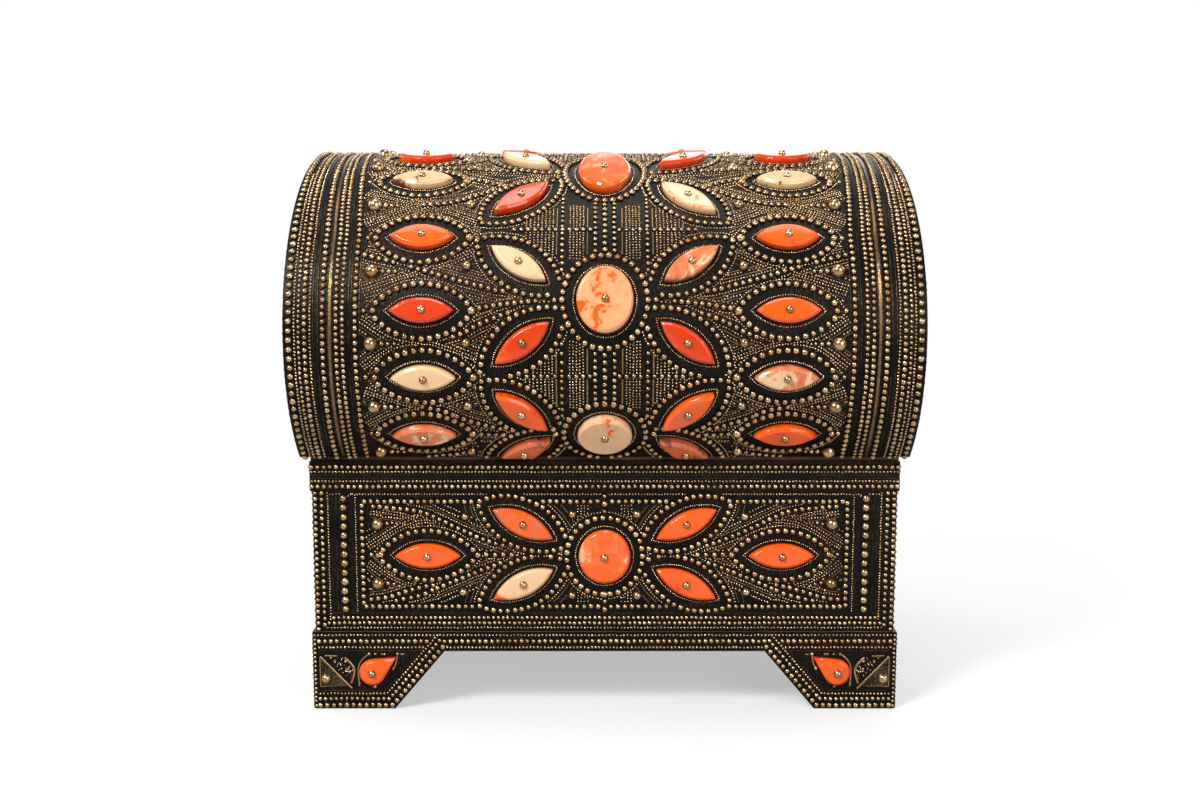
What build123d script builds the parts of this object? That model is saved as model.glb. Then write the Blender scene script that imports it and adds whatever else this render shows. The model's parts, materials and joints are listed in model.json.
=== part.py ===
from build123d import *
from math import acos, asin, cos, degrees, hypot, radians, sin, sqrt
import os

os.makedirs("parts", exist_ok=True)

# A dowry chest: a finger-jointed box on a mitred plinth, and a coopered barrel lid on two butt hinges.
# Everything is clad in thin embossed metal, set with cabochons.
# The origin is on the floor under the middle of the chest. +X is right, -Y is the front, +Z is up.

# ------------------------------------------------------------------ driving dimensions, in millimetres
# Stock
sheet = 0.6                    # metal cladding
relief = 0.5                   # embossed bands and frames stand out from the sheet
side_board = 9.0               # sides of the box
floor_board = 8.0              # bottom of the box
rim_board = 10.0               # rails round the mouth
apron_board = 10.0             # plinth boards
gable_board = 10.0             # ends of the lid
stave = 7.0                    # barrel of the lid

# Plinth and box, measured over the metal
box_length = 313.0
box_depth = 191.0
plinth_height = 43.2
box_height = 77.6
rim_height = 16.0
rim_overhang = 1.0             # rim stands out from the box on each side
plinth_overhang = 1.75         # plinth stands out from the box on each side
finger_count = 7               # fingers in each corner joint, an odd number
arch_height = 32.7             # opening between the feet
front_foot = 43.95             # foot on the floor, from the corner, along the front
side_foot = 40.25              # foot on the floor, from the corner, along the side
foot_slant = 27.7              # how far each foot widens towards the top of the arch
band_lift = 0.5                # plinth metal stops short of the floor
block_size = 22.0              # leg of each triangular glue block
block_height = 23.0

# Lid, measured over the metal
lid_end_overhang = 4.5         # lid stands out from the rim at each end
lid_edge_overhang = 1.05       # barrel's lower edge stands out from the rim, front and back
lid_half_height = 96.5         # half height of the barrel's oval
oval_rise = 66.9               # middle of the oval above the rim
shell_gap = 2.8                # barrel's lower edge above the rim
lid_seam = 0.3                 # frame of the lid above the rim
stave_count = 11
batten_width = 10.0            # side battens, front to back battens stand under the barrel's foot
batten_inset = 9.9             # front batten's inner face behind the box's inner face
batten_height = 12.9
rebate_inset = 4.6             # frame's foot behind the metal of the barrel's edge
lid_band = 31.8                # width of the embossed band round each end of the barrel

# Hinges
hinge_length = 30.0
hinge_from_end = 62.5          # middle of each hinge from the end of the rim
knuckle_count = 3
knuckle_radius = 2.5
knuckle_gap = 0.25             # between neighbouring knuckles
hinge_pin_radius = 1.1
pin_clearance = 0.05
leaf = 0.9                     # thickness of a hinge leaf
leaf_reach = 8.5               # width of a leaf from the rim's metal inwards
axis_clearance = 2.7           # hinge axis behind the rim's metal

# Cabochons
stone_height = 4.2
stone_bevel = 1.3
seat_allowance = 3.0           # blank's depth below its seat, cut away to the curve of the lid
petal_flats = 5                # ground flats along each side of a petal
medallion_flats = 18
drop_radius = 7.05
drop_point = 15.1              # tip of a drop from the middle of its round end
drop_flats = 8
drop_tilt = 33.0

# Cabochons of the lid, from its front edge up to the crown. Heights are lengths along the metal from its
# foremost line. The tilt of a slanted petal is against the length of the chest.
medallion_rows = (             # height, width, length
    (-53.1, 28.3, 26.5),
    (21.6, 28.7, 34.3),
    (116.8, 28.4, 50.0),
)
side_rows = (                  # height, distance from the middle, length, width, colours left and right
    (-53.0, 93.6, 32.6, 13.4, "coral", "orange"),
    (-17.6, 91.9, 33.0, 13.2, "cream", "coral"),
    (16.2, 92.3, 32.6, 12.9, "red", "orange"),
    (56.7, 93.6, 32.2, 14.6, "orange", "orange"),
    (104.6, 97.2, 31.8, 15.6, "cream", "cream"),
    (143.2, 99.2, 31.0, 17.0, "red", "red"),
)
slanted_rows = (               # height, distance from the middle, length, width, tilt, colours
    (-66.6, 42.4, 34.6, 12.8, 36.5, "coral", "coral"),
    (-37.4, 42.6, 34.1, 12.5, 41.0, "orange", "orange"),
    (0.2, 41.6, 34.6, 12.4, 37.7, "red", "red"),
    (40.7, 43.8, 33.6, 12.4, 34.8, "cream", "coral"),
    (86.1, 43.6, 37.2, 14.2, 43.0, "red", "cream"),
)
front_top_row = (136.0, 43.4, 36.6, 14.2, 42.0, "cream", "red")
back_top_row = (157.6, 46.3, 34.6, 13.0, 36.5, "red", "orange")

# Cabochons of the panels. Heights on the box are above its middle, those on the gables above the middle
# of the lid's oval.
panel_medallion = (27.7, 29.2)
panel_petal = (35.2, 13.4)
panel_slanted_petal = (35.8, 12.9)
front_frame_inset = 24.6       # embossed frame round the front and back panels, from the corners
end_frame_inset = 9.4          # the same on the ends
frame_bottom_rise = -26.6      # frame's outer lower edge
frame_top_rise = 35.1          # frame's outer upper edge
frame_width = 3.8
panel_rise = 3.1               # medallion
panel_side_column = 95.0
panel_side_rise = 3.5
panel_slanted_column = 43.8
panel_slanted_rise = 4.4       # halfway between the upper and the lower slanted petals
panel_slanted_spread = 16.5
panel_slanted_tilt = 26.3
end_side_column = 56.0
gable_side_column = 62.0
gable_rise = 4.3
drop_inset = 32.4              # drops from the ends of the plinth
drop_height = 21.3             # drops above the floor

# ------------------------------------------------------------------ worked out from the sizes above
box_top = plinth_height + box_height
rim_top = box_top + rim_height
oval_centre = rim_top + oval_rise
shell_edge = rim_top + shell_gap
frame_bottom = rim_top + lid_seam

inner_length = box_length - 2 * (sheet + side_board)
inner_depth = box_depth - 2 * (sheet + side_board)
rim_length = box_length + 2 * rim_overhang
rim_depth = box_depth + 2 * rim_overhang
plinth_length = box_length + 2 * plinth_overhang
plinth_depth = box_depth + 2 * plinth_overhang
panel_middle = plinth_height + box_height / 2

lid_length = rim_length + 2 * lid_end_overhang
edge_drop = (oval_rise - shell_gap) / lid_half_height
lid_half_depth = (rim_depth / 2 + lid_edge_overhang) / sqrt(1 - edge_drop ** 2)
stave_oval = (lid_half_depth - sheet, lid_half_height - sheet)
inner_oval = (stave_oval[0] - stave, stave_oval[1] - stave)
band_oval = (lid_half_depth + relief, lid_half_height + relief)
wood_half_length = lid_length / 2 - sheet
gable_inside = wood_half_length - gable_board

hinge_offset = rim_length / 2 - hinge_from_end
hinge_axis_depth = rim_depth / 2 + axis_clearance
hinge_axis_height = rim_top + lid_seam / 2


# ------------------------------------------------------------------ helpers
def save(piece, name):
    """Label a finished piece and write it to its own STEP file."""
    piece.part.label = name
    export_step(piece.part, f"parts/{name}.step")


def outline(plane, *points):
    """A face with straight edges between points on a plane."""
    with BuildSketch(plane) as sketch:
        with BuildLine():
            Polyline(*points, close=True)
        make_face()
    return sketch.sketch


def oval_depth(oval, height):
    """Half depth of one of the lid's ovals at a height above the floor."""
    return oval[0] * sqrt(1 - ((height - oval_centre) / oval[1]) ** 2)


def oval_angle(oval, arc):
    """Angle on an oval, in degrees above its foremost point, at a length along its edge."""
    step = 0.02 if arc > 0 else -0.02
    angle = 0.0
    length = 0.0
    while length < abs(arc):
        middle = radians(angle + step / 2)
        length += hypot(oval[0] * sin(middle), oval[1] * cos(middle)) * radians(abs(step))
        angle += step
    return angle


def oval_arc(oval, angle):
    """Length along an oval from its foremost point to an angle above it, in degrees."""
    pieces = 2000
    step = radians(angle) / pieces
    spans = (hypot(oval[0] * sin((i + 0.5) * step), oval[1] * cos((i + 0.5) * step)) for i in range(pieces))
    return sum(spans) * step


def oval_frame(oval, angle, back=False):
    """Point, outward normal and upward tangent on an oval, as (depth, height) pairs."""
    side = 1 if back else -1
    turn = radians(angle)
    point = (side * oval[0] * cos(turn), oval_centre + oval[1] * sin(turn))
    size = hypot(cos(turn) / oval[0], sin(turn) / oval[1])
    normal = (side * cos(turn) / oval[0] / size, sin(turn) / oval[1] / size)
    tangent = (-side * normal[1], side * normal[0])
    return point, normal, tangent


def lid_seat(x, arc, tilt=0.0, back=False):
    """Plane on the lid's metal, facing out, with its X direction turned by tilt towards the crown."""
    oval = (lid_half_depth, lid_half_height)
    point, normal, tangent = oval_frame(oval, oval_angle(oval, arc), back)
    along = (cos(radians(tilt)), sin(radians(tilt)) * tangent[0], sin(radians(tilt)) * tangent[1])
    return Plane(origin=(x, point[0], point[1]), x_dir=along, z_dir=(0, normal[0], normal[1]))


def front_seat(x, height, tilt=0.0, depth=box_depth / 2):
    """Plane on a flat front, facing out, with its X direction turned by tilt."""
    along = (cos(radians(tilt)), 0, sin(radians(tilt)))
    return Plane(origin=(x, -depth, height), x_dir=along, z_dir=(0, -1, 0))


def end_seat(side, distance, depth, height):
    """Plane on a flat end of the chest, side -1 left or 1 right, facing out."""
    return Plane(origin=(side * distance, depth, height), x_dir=(0, 1, 0), z_dir=(side, 0, 0))


def inward_tilt(x, tilt, rising):
    """Signed tilt of a slanted petal whose inner end is its upper one if rising, or else its lower one."""
    return tilt if (x < 0) == rising else -tilt


# ------------------------------------------------------------------ blanks of the cabochons
# The stones are ground by hand: their rounded edges are short flats that follow an arc.
def arc_points(radius, first, last, flats, middle=(0, 0)):
    """Corners of the flats that follow an arc, from one angle to another, in degrees."""
    angles = [radians(first + (last - first) * number / flats) for number in range(flats + 1)]
    return [(middle[0] + radius * cos(angle), middle[1] + radius * sin(angle)) for angle in angles]


def stone_blank(points):
    """A stone with the given outline, bevelled all round on top, standing on a seat at height zero."""
    with BuildPart(mode=Mode.PRIVATE) as blank:
        extrude(outline(Plane.XY.offset(-seat_allowance), *points), seat_allowance + stone_height)
        chamfer(blank.faces().sort_by(Axis.Z)[-1].edges(), stone_bevel)
    return blank.part


def petal_blank(length, width):
    """A pointed oval of two equal arcs."""
    radius = (length ** 2 + width ** 2) / (4 * width)
    spread = degrees(asin(length / 2 / radius))
    upper = arc_points(radius, 90 + spread, 90 - spread, petal_flats, (0, width / 2 - radius))
    lower = arc_points(radius, spread - 90, -spread - 90, petal_flats, (0, radius - width / 2))
    return stone_blank(upper + lower[1:-1])


def medallion_blank(width, height):
    """An oval, longer or shorter than it is wide."""
    circle = arc_points(0.5, 0, 360, medallion_flats)
    return stone_blank([(width * x, height * y) for x, y in circle[:-1]])


def drop_blank():
    """A round end with two tangents that meet in a tip along +X."""
    spread = degrees(acos(drop_radius / drop_point))
    return stone_blank([(drop_point, 0)] + arc_points(drop_radius, spread, 360 - spread, drop_flats))


with BuildPart(mode=Mode.PRIVATE) as lid_form:
    with BuildSketch(Plane.YZ):
        with Locations((0, oval_centre)):
            Ellipse(lid_half_depth, lid_half_height)
    extrude(amount=lid_length / 2, both=True)

# Stones that reach the barrel's lower edge are cut off level with it.
with BuildPart(mode=Mode.PRIVATE) as below_lid:
    with Locations((0, 0, shell_edge)):
        Box(lid_length, 4 * lid_half_depth, shell_edge, align=(Align.CENTER, Align.CENTER, Align.MAX))

with BuildPart(mode=Mode.PRIVATE) as box_form:
    with Locations((0, 0, plinth_height / 2)):
        Box(plinth_length, plinth_depth, plinth_height)
    with Locations((0, 0, plinth_height + box_height / 2)):
        Box(box_length, box_depth, box_height)


# ------------------------------------------------------------------ plinth
def arch(plane, foot, length):
    """Outline of the opening between two feet, in the plane of an apron."""
    on_floor = length / 2 - foot
    at_top = on_floor - foot_slant
    return outline(
        plane, (-on_floor, 0), (-at_top, arch_height), (at_top, arch_height), (on_floor, 0)
    )


def cut_arches():
    """Cut the openings between the feet, right through the plinth."""
    extrude(arch(Plane.XZ, front_foot, plinth_length), plinth_depth, both=True, mode=Mode.SUBTRACT)
    extrude(arch(Plane.YZ, side_foot, plinth_depth), plinth_length, both=True, mode=Mode.SUBTRACT)


def mitred_front(half_length, half_depth, width, bottom, height):
    """A board along the front of a frame, mitred at both ends, half_length by half_depth over all."""
    plan = outline(
        Plane.XY.offset(bottom),
        (-half_length, -half_depth),
        (half_length, -half_depth),
        (half_length - width, width - half_depth),
        (width - half_length, width - half_depth),
    )
    extrude(plan, height)


def mitred_end(half_length, half_depth, width, bottom, height):
    """A board along the left end of a frame, mitred at both ends."""
    plan = outline(
        Plane.XY.offset(bottom),
        (-half_length, -half_depth),
        (-half_length, half_depth),
        (width - half_length, half_depth - width),
        (width - half_length, width - half_depth),
    )
    extrude(plan, height)


plinth_frame = (plinth_length / 2 - sheet, plinth_depth / 2 - sheet, apron_board, 0, plinth_height)

with BuildPart() as front_apron:
    mitred_front(*plinth_frame)
    cut_arches()
save(front_apron, "front_apron")

with BuildPart() as back_apron:
    add(front_apron.part)
    mirror(about=Plane.XZ, mode=Mode.REPLACE)
save(back_apron, "back_apron")

with BuildPart() as left_apron:
    mitred_end(*plinth_frame)
    cut_arches()
save(left_apron, "left_apron")

with BuildPart() as right_apron:
    add(left_apron.part)
    mirror(about=Plane.YZ, mode=Mode.REPLACE)
save(right_apron, "right_apron")

# Triangular glue blocks in the inner corners of the plinth, up against the box.
block_corner = (plinth_frame[0] - apron_board, plinth_frame[1] - apron_board)
with BuildPart() as corner_blocks:
    with BuildSketch(Plane.XY.offset(plinth_height - block_height)):
        with BuildLine():
            Polyline(
                (block_corner[0], block_corner[1]),
                (block_corner[0] - block_size, block_corner[1]),
                (block_corner[0], block_corner[1] - block_size),
                close=True,
            )
        make_face()
    extrude(amount=block_height)
    mirror(about=Plane.XZ)
    mirror(about=Plane.YZ)
save(corner_blocks, "corner_blocks")

with BuildPart() as plinth_band:
    with BuildSketch(Plane.XY.offset(band_lift)):
        Rectangle(plinth_length, plinth_depth)
        Rectangle(plinth_length - 2 * sheet, plinth_depth - 2 * sheet, mode=Mode.SUBTRACT)
    extrude(amount=plinth_height - band_lift)
    cut_arches()
save(plinth_band, "plinth_band")

# ------------------------------------------------------------------ box
finger_height = box_height / finger_count
outer_fingers = range(0, finger_count, 2)
inner_fingers = range(1, finger_count, 2)


def finger_board(length, open_fingers):
    """Outline of a box side, with the given fingers cut out of both of its ends."""
    with Locations((0, plinth_height + box_height / 2)):
        Rectangle(length, box_height)
    for finger in open_fingers:
        middle = plinth_height + (finger + 0.5) * finger_height
        with Locations((length / 2 - side_board / 2, middle), (side_board / 2 - length / 2, middle)):
            Rectangle(side_board, finger_height, mode=Mode.SUBTRACT)


with BuildPart() as front_board:
    with BuildSketch(Plane.XZ.offset(inner_depth / 2)):
        finger_board(box_length - 2 * sheet, inner_fingers)
    extrude(amount=side_board)
save(front_board, "front_board")

with BuildPart() as back_board:
    with BuildSketch(Plane.XZ.offset(-inner_depth / 2)):
        finger_board(box_length - 2 * sheet, inner_fingers)
    extrude(amount=-side_board)
save(back_board, "back_board")

with BuildPart() as left_board:
    with BuildSketch(Plane.YZ.offset(-inner_length / 2)):
        finger_board(box_depth - 2 * sheet, outer_fingers)
    extrude(amount=-side_board)
save(left_board, "left_board")

with BuildPart() as right_board:
    with BuildSketch(Plane.YZ.offset(inner_length / 2)):
        finger_board(box_depth - 2 * sheet, outer_fingers)
    extrude(amount=side_board)
save(right_board, "right_board")

with BuildPart() as bottom_board:
    with BuildSketch(Plane.XY.offset(plinth_height)):
        Rectangle(inner_length, inner_depth)
    extrude(amount=floor_board)
save(bottom_board, "bottom_board")


def emboss_frame(plane, width):
    """Raise a frame round the panel of one side of the box."""
    height = frame_top_rise - frame_bottom_rise
    with BuildSketch(plane) as frame_outline:
        with Locations((0, panel_middle + (frame_top_rise + frame_bottom_rise) / 2)):
            Rectangle(width, height)
            Rectangle(width - 2 * frame_width, height - 2 * frame_width, mode=Mode.SUBTRACT)
    extrude(frame_outline.sketch, relief)


with BuildPart() as front_skin:
    with BuildSketch(Plane.XZ.offset(box_depth / 2 - sheet)):
        with Locations((0, panel_middle)):
            Rectangle(box_length, box_height)
    extrude(amount=sheet)
    emboss_frame(Plane.XZ.offset(box_depth / 2), box_length - 2 * front_frame_inset)
save(front_skin, "front_skin")

with BuildPart() as back_skin:
    add(front_skin.part)
    mirror(about=Plane.XZ, mode=Mode.REPLACE)
save(back_skin, "back_skin")

with BuildPart() as right_skin:
    with BuildSketch(Plane.YZ.offset(box_length / 2 - sheet)):
        with Locations((0, panel_middle)):
            Rectangle(box_depth - 2 * sheet, box_height)
    extrude(amount=sheet)
    emboss_frame(Plane.YZ.offset(box_length / 2), box_depth - 2 * end_frame_inset)
save(right_skin, "right_skin")

with BuildPart() as left_skin:
    add(right_skin.part)
    mirror(about=Plane.YZ, mode=Mode.REPLACE)
save(left_skin, "left_skin")

# ------------------------------------------------------------------ rim
# The rails' inner faces stand flush with the inside of the box. The back rail and its metal are let in
# for the hinge leaves.
rim_frame = (rim_length / 2 - sheet, rim_depth / 2 - sheet, rim_board, box_top, rim_height)
leaf_middle = (rim_depth - leaf_reach) / 2
hinge_places = ((-hinge_offset, leaf_middle), (hinge_offset, leaf_middle))


def cut_leaf_beds(bottom):
    """Let the hinge leaves into wood or metal at a height."""
    with BuildSketch(Plane.XY.offset(bottom)) as beds:
        with Locations(*hinge_places):
            Rectangle(hinge_length, leaf_reach)
    extrude(beds.sketch, leaf, mode=Mode.SUBTRACT)


with BuildPart() as front_rim_rail:
    mitred_front(*rim_frame)
save(front_rim_rail, "front_rim_rail")

with BuildPart() as back_rim_rail:
    add(front_rim_rail.part)
    mirror(about=Plane.XZ, mode=Mode.REPLACE)
    cut_leaf_beds(rim_top - leaf)
save(back_rim_rail, "back_rim_rail")

with BuildPart() as left_rim_rail:
    mitred_end(*rim_frame)
save(left_rim_rail, "left_rim_rail")

with BuildPart() as right_rim_rail:
    add(left_rim_rail.part)
    mirror(about=Plane.YZ, mode=Mode.REPLACE)
save(right_rim_rail, "right_rim_rail")

with BuildPart() as rim_band:
    with BuildSketch(Plane.XY.offset(box_top)):
        Rectangle(rim_length, rim_depth)
        Rectangle(rim_length - 2 * sheet, rim_depth - 2 * sheet, mode=Mode.SUBTRACT)
    extrude(amount=rim_height)
    cut_leaf_beds(rim_top - leaf)
save(rim_band, "rim_band")

# ------------------------------------------------------------------ barrel of the lid
# The staves are equal lengths of the oval, cut square to it, so that they meet face to face.
crown_arc = oval_arc(stave_oval, 90)
edge_angle = degrees(asin((shell_edge - oval_centre) / stave_oval[1]))
half_barrel = crown_arc - oval_arc(stave_oval, edge_angle)
stave_width = 2 * half_barrel / stave_count
wedge_reach = 2 * stave


def stave_joint(number):
    """Point and outward direction of the joint below a stave, counted from the front edge upwards."""
    if number in (0, stave_count):
        side = -1 if number == 0 else 1
        return (side * oval_depth(stave_oval, shell_edge), shell_edge), (side, 0)
    from_crown = (number - stave_count / 2) * stave_width
    arc = crown_arc - abs(from_crown)
    point, normal, _ = oval_frame(stave_oval, oval_angle(stave_oval, arc), back=from_crown > 0)
    return point, normal


def along_joint(joint, distance):
    """Point on a joint, at a distance out from the staves' outer face."""
    point, normal = joint
    return point[0] + normal[0] * distance, point[1] + normal[1] * distance


for number in range(stave_count):
    lower = stave_joint(number)
    upper = stave_joint(number + 1)
    with BuildPart() as lid_stave:
        with BuildSketch(Plane.YZ):
            with Locations((0, oval_centre)):
                Ellipse(*stave_oval)
                Ellipse(*inner_oval, mode=Mode.SUBTRACT)
            with BuildLine():
                Polyline(
                    along_joint(lower, wedge_reach),
                    along_joint(lower, -wedge_reach),
                    along_joint(upper, -wedge_reach),
                    along_joint(upper, wedge_reach),
                    close=True,
                )
            make_face(mode=Mode.INTERSECT)
        extrude(amount=wood_half_length, both=True)
    save(lid_stave, f"lid_stave_{number + 1:02d}")


def barrel_section(oval):
    """One of the lid's ovals, cut off level at the barrel's lower edge."""
    with Locations((0, oval_centre)):
        Ellipse(*oval)
    with Locations((0, shell_edge)):
        Rectangle(2 * oval[0], 2 * oval[1], align=(Align.CENTER, Align.MIN), mode=Mode.INTERSECT)


with BuildPart() as lid_right_gable:
    with BuildSketch(Plane.YZ.offset(gable_inside)):
        barrel_section(inner_oval)
    extrude(amount=gable_board)
save(lid_right_gable, "lid_right_gable")

with BuildPart() as lid_left_gable:
    add(lid_right_gable.part)
    mirror(about=Plane.YZ, mode=Mode.REPLACE)
save(lid_left_gable, "lid_left_gable")


def skin_section(plane, outer):
    """Section of the barrel's sheet or of a band embossed in it."""
    with BuildSketch(plane) as section:
        barrel_section(outer)
        with Locations((0, oval_centre)):
            Ellipse(*stave_oval, mode=Mode.SUBTRACT)
    return section.sketch


with BuildPart() as lid_skin:
    extrude(skin_section(Plane.YZ, (lid_half_depth, lid_half_height)), lid_length / 2, both=True)
    for side in (-1, 1):
        extrude(skin_section(Plane.YZ.offset(side * lid_length / 2), band_oval), -side * lid_band)
save(lid_skin, "lid_skin")

with BuildPart() as lid_right_gable_skin:
    with BuildSketch(Plane.YZ.offset(wood_half_length)):
        barrel_section(stave_oval)
    extrude(amount=sheet)
save(lid_right_gable_skin, "lid_right_gable_skin")

with BuildPart() as lid_left_gable_skin:
    add(lid_right_gable_skin.part)
    mirror(about=Plane.YZ, mode=Mode.REPLACE)
save(lid_left_gable_skin, "lid_left_gable_skin")

# ------------------------------------------------------------------ frame of the lid
# Each batten has a foot that carries the barrel, and an upstand that fits inside it.
foot_depth = oval_depth((lid_half_depth, lid_half_height), shell_edge) - rebate_inset
foot_length = lid_length / 2 - rebate_inset
batten_inside = inner_depth / 2 - batten_inset
batten_top = frame_bottom + batten_height

with BuildPart() as lid_front_batten:
    with BuildSketch(Plane.YZ):
        with BuildLine():
            Polyline(
                (-batten_inside, frame_bottom),
                (-foot_depth, frame_bottom),
                (-foot_depth, shell_edge),
                (-oval_depth(inner_oval, shell_edge), shell_edge),
                (-oval_depth(inner_oval, batten_top), batten_top),
                (-batten_inside, batten_top),
                close=True,
            )
        make_face()
    extrude(amount=gable_inside, both=True)
    with BuildSketch(Plane.YZ):
        with BuildLine():
            Polyline(
                (-batten_inside, frame_bottom),
                (-foot_depth, frame_bottom),
                (-foot_depth, shell_edge),
                (-batten_inside, shell_edge),
                close=True,
            )
        make_face()
    extrude(amount=foot_length, both=True)
save(lid_front_batten, "lid_front_batten")

with BuildPart() as lid_back_batten:
    add(lid_front_batten.part)
    mirror(about=Plane.XZ, mode=Mode.REPLACE)
    cut_leaf_beds(frame_bottom)
save(lid_back_batten, "lid_back_batten")

with BuildPart() as lid_right_batten:
    with BuildSketch(Plane.XZ):
        with BuildLine():
            Polyline(
                (gable_inside - batten_width, frame_bottom),
                (foot_length, frame_bottom),
                (foot_length, shell_edge),
                (gable_inside, shell_edge),
                (gable_inside, batten_top),
                (gable_inside - batten_width, batten_top),
                close=True,
            )
        make_face()
    extrude(amount=batten_inside, both=True)
save(lid_right_batten, "lid_right_batten")

with BuildPart() as lid_left_batten:
    add(lid_right_batten.part)
    mirror(about=Plane.YZ, mode=Mode.REPLACE)
save(lid_left_batten, "lid_left_batten")

# ------------------------------------------------------------------ hinges
# Butt hinges with interleaved knuckles. The pin's axis lies in the seam, just behind the rim's metal.
# Odd knuckles belong to the leaf on the rim and even ones to the leaf on the lid.
knuckle_pitch = hinge_length / knuckle_count
knuckle_length = knuckle_pitch - knuckle_gap


def knuckle_places(first):
    """Middles of every second knuckle, from the one given, along a hinge centred on zero."""
    return [(number + 0.5) * knuckle_pitch - hinge_length / 2 for number in range(first, knuckle_count, 2)]


def hinge_leaf(middle, first_knuckle, bottom):
    """A flat leaf at a height, with its knuckles rolled round the pin's axis."""
    places = [middle + place for place in knuckle_places(first_knuckle)]
    with BuildSketch(Plane.XY.offset(bottom)) as plate:
        with Locations((middle, leaf_middle)):
            Rectangle(hinge_length, leaf_reach)
        with Locations(*((place, leaf_middle + axis_clearance / 2) for place in places)):
            Rectangle(knuckle_length, leaf_reach + axis_clearance)
    extrude(plate.sketch, leaf)
    pin_axis = (hinge_axis_depth, hinge_axis_height)
    for place in places:
        with BuildSketch(Plane.YZ.offset(place)) as knuckle:
            with Locations(pin_axis):
                Circle(knuckle_radius)
        extrude(knuckle.sketch, knuckle_length / 2, both=True)
    with BuildSketch(Plane.YZ.offset(middle)) as bore:
        with Locations(pin_axis):
            Circle(hinge_pin_radius + pin_clearance)
    extrude(bore.sketch, hinge_length, both=True, mode=Mode.SUBTRACT)


with BuildPart() as left_hinge_body_leaf:
    hinge_leaf(-hinge_offset, 0, rim_top - leaf)
save(left_hinge_body_leaf, "left_hinge_body_leaf")

with BuildPart() as right_hinge_body_leaf:
    hinge_leaf(hinge_offset, 0, rim_top - leaf)
save(right_hinge_body_leaf, "right_hinge_body_leaf")

with BuildPart() as left_hinge_lid_leaf:
    hinge_leaf(-hinge_offset, 1, frame_bottom)
save(left_hinge_lid_leaf, "left_hinge_lid_leaf")

with BuildPart() as right_hinge_lid_leaf:
    hinge_leaf(hinge_offset, 1, frame_bottom)
save(right_hinge_lid_leaf, "right_hinge_lid_leaf")

with BuildPart() as hinge_pins:
    for middle in (-hinge_offset, hinge_offset):
        with BuildSketch(Plane.YZ.offset(middle)):
            with Locations((hinge_axis_depth, hinge_axis_height)):
                Circle(hinge_pin_radius)
        extrude(amount=hinge_length / 2, both=True)
save(hinge_pins, "hinge_pins")

# ------------------------------------------------------------------ cabochons of the lid
# The back has the same stones as the front, up to its topmost slanted pair.
gable_height = oval_centre + gable_rise
lid_petals = {"orange": [], "red": [], "cream": [], "coral": []}
lid_ovals = []


def slanted_pair(row, rising, back):
    """Add a pair of slanted petals to the lid's stones, of the height and sizes in the row."""
    arc, column, length, width, tilt, *colours = row
    blank = petal_blank(length, width)
    for x, colour in zip((-column, column), colours):
        lid_petals[colour].append((blank, lid_seat(x, arc, inward_tilt(x, tilt, rising), back)))


for arc, column, length, width, *colours in side_rows:
    blank = petal_blank(length, width)
    for x, colour in zip((-column, column), colours):
        for back in (False, True):
            lid_petals[colour].append((blank, lid_seat(x, arc, 0, back)))

for number, row in enumerate(slanted_rows):
    for back in (False, True):
        slanted_pair(row, number % 2 == 0, back)
slanted_pair(front_top_row, False, back=False)
slanted_pair(back_top_row, False, back=True)

for arc, width, length in medallion_rows:
    for back in (False, True):
        lid_ovals.append((medallion_blank(width, length), lid_seat(0, arc, 0, back)))

for side in (-1, 1):
    lid_ovals.append((medallion_blank(*panel_medallion), end_seat(side, lid_length / 2, 0, gable_height)))
    for depth in (-gable_side_column, gable_side_column):
        seat = end_seat(side, lid_length / 2, depth, gable_height)
        lid_petals["orange"].append((petal_blank(*panel_petal), seat))


def set_stones(stones, wall):
    """Stand each stone on its seat and cut it to fit the wall behind it."""
    for blank, seat in stones:
        with Locations(seat):
            add(blank)
    add(wall, mode=Mode.SUBTRACT)


for colour, stones in lid_petals.items():
    with BuildPart() as lid_stones:
        set_stones(stones, lid_form.part)
        add(below_lid.part, mode=Mode.SUBTRACT)
    save(lid_stones, f"lid_{colour}_stones")

with BuildPart() as lid_medallions:
    set_stones(lid_ovals, lid_form.part)
save(lid_medallions, "lid_medallions")

# ------------------------------------------------------------------ cabochons of the box and the plinth
medallion_height = panel_middle + panel_rise
side_height = panel_middle + panel_side_rise
slanted_middle = panel_middle + panel_slanted_rise
drop_column = plinth_length / 2 - drop_inset


def front_slanted(side, upper):
    """A slanted petal of the front, side -1 left or 1 right, with its inner end towards the medallion."""
    height = slanted_middle + (panel_slanted_spread if upper else -panel_slanted_spread)
    tilt = inward_tilt(side, panel_slanted_tilt, rising=not upper)
    return petal_blank(*panel_slanted_petal), front_seat(side * panel_slanted_column, height, tilt)


with BuildPart() as front_medallion:
    set_stones([(medallion_blank(*panel_medallion), front_seat(0, medallion_height))], box_form.part)
save(front_medallion, "front_medallion")

orange_petals = [front_slanted(1, upper=True), front_slanted(1, upper=False)]
for x in (-panel_side_column, panel_side_column):
    orange_petals.append((petal_blank(*panel_petal), front_seat(x, side_height)))
with BuildPart() as front_orange_stones:
    set_stones(orange_petals, box_form.part)
save(front_orange_stones, "front_orange_stones")

with BuildPart() as front_coral_stone:
    set_stones([front_slanted(-1, upper=True)], box_form.part)
save(front_coral_stone, "front_coral_stone")

with BuildPart() as front_cream_stone:
    set_stones([front_slanted(-1, upper=False)], box_form.part)
save(front_cream_stone, "front_cream_stone")

end_stones = []
for side in (-1, 1):
    seat = end_seat(side, box_length / 2, 0, medallion_height)
    end_stones.append((medallion_blank(*panel_medallion), seat))
    for depth in (-end_side_column, end_side_column):
        end_stones.append((petal_blank(*panel_petal), end_seat(side, box_length / 2, depth, side_height)))
with BuildPart() as end_panel_stones:
    set_stones(end_stones, box_form.part)
save(end_panel_stones, "end_panel_stones")

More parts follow.
